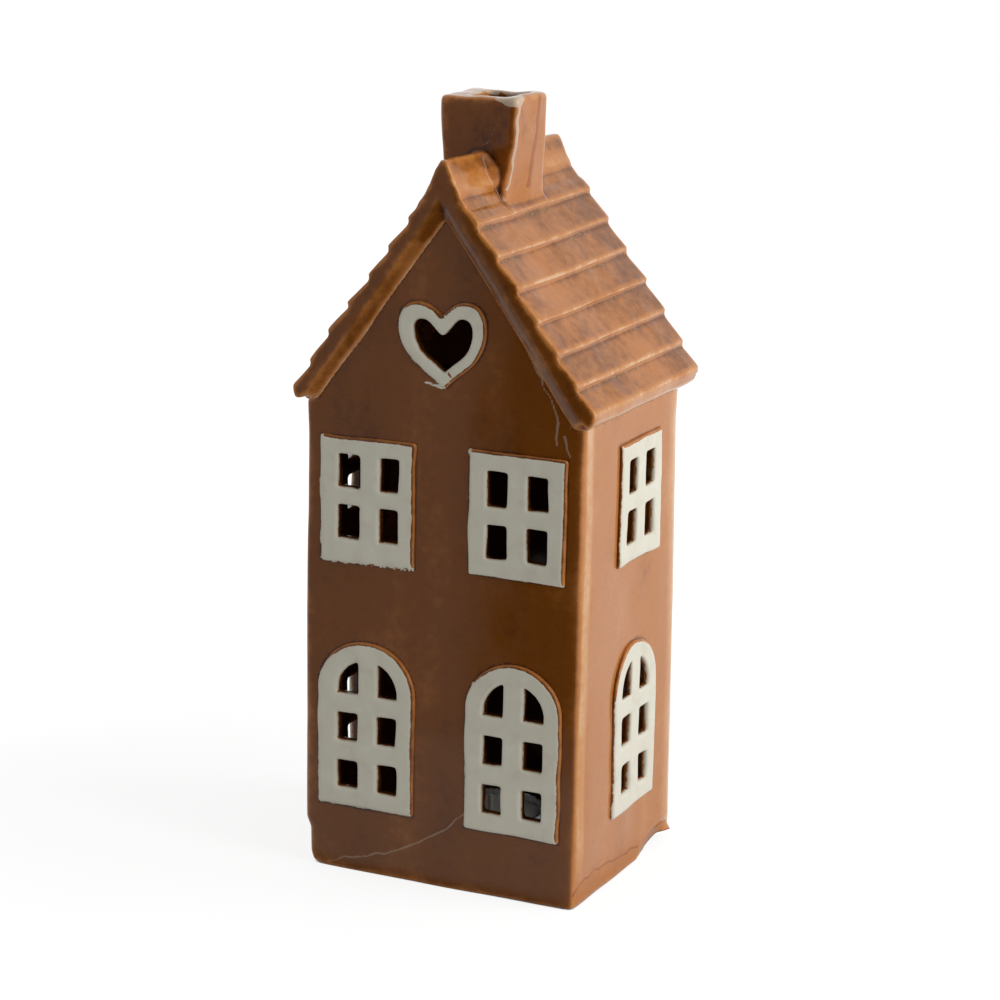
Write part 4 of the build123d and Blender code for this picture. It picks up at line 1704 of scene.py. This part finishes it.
@dataclass
class Studio:
    """Pale floor, white surroundings, one soft lamp and a dark card.

    Attributes:
        floor: Edge of the floor in metres.
        fill: Grey level of the light from all round.
        lamp_place: Where the lamp hangs, in metres.
        lamp_edge: Edge of the lamp in metres.
        lamp_power: Its power in watts.
        lamp_aim: The point that it faces, in metres.
        card_left: The dark card's left end, in metres.
        card_right: Its right end.
        card_depth: How far it stands before the house's middle.
        card_foot: Height of its lower edge.
        card_top: Height of its upper edge.
    """

    floor: float = 4.0
    fill: float = 0.40
    lamp_place: Point = (1.05, 0.08, 0.62)
    lamp_edge: float = 0.9
    lamp_power: float = 9.5
    lamp_aim: Point = (0.0, 0.0, 0.12)
    card_left: float = -0.30
    card_right: float = 0.120
    card_depth: float = 0.141
    card_foot: float = 0.004
    card_top: float = 0.50

    def staged(self, made: bpy.types.Object) -> bpy.types.Object:
        """Adds an object to the scene as part of the studio.

        Args:
            made: The new object.

        Returns:
            The same object.
        """
        bpy.context.scene.collection.objects.link(made)
        return made

    def sheet(self, name: str, corners: list[Point]) -> tuple[bpy.types.Object, Graph]:
        """Makes a flat four-cornered sheet with an empty material.

        Args:
            name: Its name and its material's.
            corners: Its corners in metres.

        Returns:
            The sheet and its material's graph.
        """
        mesh = bpy.data.meshes.new(name)
        mesh.from_pydata(corners, [], [(0, 1, 2, 3)])
        material, g = cleared(name)
        mesh.materials.append(material)
        return self.staged(bpy.data.objects.new(name, mesh)), g

    def seen(self, g: Graph) -> tuple[Socket, Socket]:
        """Which rays see the surroundings themselves.

        Args:
            g: The graph to add to.

        Returns:
            1 for camera, mirror and transmission rays, and 1 for mirror rays alone.
        """
        path = g.node("ShaderNodeLightPath").outputs
        seen = g.sum("MAXIMUM", path["Is Camera Ray"], path["Is Glossy Ray"])
        return g.sum("MAXIMUM", seen, path["Is Transmission Ray"]), path["Is Glossy Ray"]

    def background(self) -> None:
        """White where it is looked at or mirrored, and a grey fill for everything else."""
        world = bpy.data.worlds.new("studio")
        bpy.context.scene.world = world
        world.use_nodes = True
        g = Graph(world.node_tree)
        world.node_tree.nodes.clear()
        shade = g.node("ShaderNodeBackground")
        g.feed(shade.inputs["Color"], g.blend(self.seen(g)[0], (self.fill,) * 3, (1.0, 1.0, 1.0)))
        g.feed(g.node("ShaderNodeOutputWorld").inputs[0], shade.outputs[0])

    def ground(self) -> None:
        """A pale floor that keeps the shadow and is dark where the house shelters it; close to the house its
        mirror image gets painted shade, and behind the scoop it is kept white.
        """
        half = self.floor / 2
        corners = [(-half, -half, 0.0), (half, -half, 0.0), (half, half, 0.0), (-half, half, 0.0)]
        _, g = self.sheet("pale floor", corners)
        where = g.place()
        part = g.node("ShaderNodeSeparateXYZ")
        g.feed(part.inputs[0], where)
        shelter = g.node("ShaderNodeAmbientOcclusion", samples=8)
        shelter.inputs["Distance"].default_value = 0.4
        # Painted light: behind the scoop the floor is kept white where the house would shelter it.
        scoop = g.sum("MULTIPLY", g.spread(part.outputs[0], 20.0, 36.0), g.spread(part.outputs[1], 2.0, 18.0))
        open_air = g.sum("MAXIMUM", g.spread(shelter.outputs["AO"], 0.10, 0.42), scoop)
        seen, mirror = self.seen(g)
        edges = [
            g.sum("SUBTRACT", g.sum("ABSOLUTE", socket), half_size - 1.0)
            for socket, half_size in zip(part.outputs, (PLAN.half_width, PLAN.half_depth))
        ]
        # Painted shade: close to the house the floor is darker in reflections.
        close = g.sum("SUBTRACT", 1.0, g.spread(g.sum("MAXIMUM", *edges), 3.0, 14.0))
        mirrored_shade = g.sum("MULTIPLY", g.sum("MULTIPLY", mirror, close), 0.85)
        clear = g.sum("MULTIPLY", g.sum("MULTIPLY", seen, open_air), g.sum("SUBTRACT", 1.0, mirrored_shade))
        length = g.node("ShaderNodeVectorMath", operation="LENGTH")
        g.feed(length.inputs[0], where)
        # The floor's glow is a little weaker within about 0.4 m of the middle.
        far = g.spread(length.outputs["Value"], 90.0, 420.0)
        clear = g.sum("MULTIPLY", clear, g.spread(far, 0.0, 1.0, 0.84, 1.0))
        dust = g.spread(g.noise(where, size=60.0, detail=3.0), 0.3, 0.7, 0.97, 1.0)
        grey = g.sum("SUBTRACT", 0.62, g.sum("MULTIPLY", clear, 0.42))
        paper = g.node("ShaderNodeCombineColor")
        for socket in paper.inputs:
            g.feed(socket, g.sum("MULTIPLY", grey, dust))
        matt = g.node("ShaderNodeBsdfDiffuse")
        g.feed(matt.inputs["Color"], paper.outputs[0])
        white = g.node("ShaderNodeEmission")
        g.feed(white.inputs["Strength"], clear)
        both = g.node("ShaderNodeAddShader")
        g.feed(both.inputs[0], matt.outputs[0])
        g.feed(both.inputs[1], white.outputs[0])
        g.feed(g.node("ShaderNodeOutputMaterial").inputs[0], both.outputs[0])

    def lamp(self) -> None:
        """Hangs the soft square lamp on the house's right."""
        data = bpy.data.lights.new("key", "AREA")
        data.shape = "RECTANGLE"
        data.size = data.size_y = self.lamp_edge
        data.energy = self.lamp_power
        lamp = self.staged(bpy.data.objects.new("key", data))
        lamp.location = self.lamp_place
        lamp.rotation_mode = "QUATERNION"
        lamp.rotation_quaternion = (Vector(self.lamp_aim) - Vector(self.lamp_place)).to_track_quat("-Z", "Y")

    def card(self) -> None:
        """A dark card before the house, which only its glossy front mirrors."""
        ends, near = (self.card_left, self.card_right), -self.card_depth
        corners = [(end, near, self.card_foot) for end in ends]
        corners += [(end, near, self.card_top) for end in reversed(ends)]
        card, g = self.sheet("dark card", corners)
        cloth = g.node("ShaderNodeBsdfDiffuse")
        weave = g.noise(g.place(), size=20.0)
        g.feed(cloth.inputs["Color"], g.ramp(weave, [(0.3, (0.01, 0.01, 0.01)), (0.7, (0.03, 0.03, 0.03))]))
        part = g.node("ShaderNodeSeparateXYZ")
        g.feed(part.inputs[0], g.place())
        side = g.spread(part.outputs[0], -44.0, -16.0, 0.35, 1.0)
        fade = g.sum("MULTIPLY", side, g.spread(part.outputs[2], 2.0, 30.0))
        both = g.node("ShaderNodeMixShader")
        g.feed(both.inputs[0], fade)
        g.feed(both.inputs[1], g.node("ShaderNodeBsdfTransparent").outputs[0])
        g.feed(both.inputs[2], cloth.outputs[0])
        g.feed(g.node("ShaderNodeOutputMaterial").inputs[0], both.outputs[0])
        card.visible_camera = False
        card.visible_diffuse = False
        card.visible_shadow = False
        card.visible_transmission = False

    def build(self) -> None:
        """Sets up the studio."""
        self.background()
        self.ground()
        self.lamp()
        self.card()
        bpy.context.scene.view_settings.view_transform = "Standard"


@dataclass
class PhotoCamera:
    """The camera, at the photograph's viewing angle.

    Attributes:
        eye: Its place in metres.
        azimuth: Degrees round the object from the front.
        elevation: Degrees above the horizon.
        roll: Degrees of tilt.
        lens: Focal length in mm.
        sensor: Width of the sensor in mm.
    """

    eye: Point = (0.397888, -0.855018, 0.356834)
    azimuth: float = 24.871
    elevation: float = 13.755
    roll: float = 1.095
    lens: float = 102.57
    sensor: float = 36.0

    def build(self) -> None:
        """Makes the scene's camera."""
        a, e, t = (math.radians(v) for v in (self.azimuth, self.elevation, self.roll))
        back = Vector((math.sin(a) * math.cos(e), -math.cos(a) * math.cos(e), math.sin(e)))
        right = Vector((math.cos(a), math.sin(a), 0.0))
        up = back.cross(right)
        across = right * math.cos(t) + up * math.sin(t)
        above = up * math.cos(t) - right * math.sin(t)
        data = bpy.data.cameras.new("photo")
        data.sensor_width = self.sensor
        data.lens = self.lens
        data.clip_start, data.clip_end = 0.05, 20.0
        camera = bpy.data.objects.new("photo", data)
        bpy.context.scene.collection.objects.link(camera)
        turn = Matrix((across, above, back)).transposed()
        camera.matrix_world = Matrix.Translation(self.eye) @ turn.to_4x4()
        bpy.context.scene.camera = camera


def main() -> None:
    """Builds the house, its tealight, the studio and the camera."""
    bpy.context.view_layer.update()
    groups = {
        "depth": glaze_depth_group(),
        "brown": glaze_colour_group(GlazeColours()),
        "brush": brush_group(),
        "cream": cream_colour_group(CreamColours()),
    }
    names = [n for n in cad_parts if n.endswith("_window") or n == "heart_frame"]
    sides = {"right": Side.RIGHT, "left": Side.LEFT}
    outlines = [Outline(n, sides.get(n.split("_")[0], Side.FRONT)) for n in sorted(names)]
    wall_glaze = GlazeFinish("brown glaze on the walls", painted=True).made(groups)
    roof_finish = GlazeFinish("brown glaze on the roof", streaks=0.15, mottle=0.85, pits=0.8, milky=0.7)
    roof_glaze = roof_finish.made(groups)
    frame_glaze = GlazeFinish("cream glaze over brown", streaks=0.1, ragged=0.35, painted=True).made(groups)
    Walls(outlines).build(wall_glaze)
    Windows(outlines).build(frame_glaze)
    Roof(outlines).build(roof_glaze)
    Tealight().build()
    Studio().build()
    PhotoCamera().build()


if __name__ == "__main__":
    logging.basicConfig(level=logging.INFO, format="%(name)s: %(message)s")
    main()
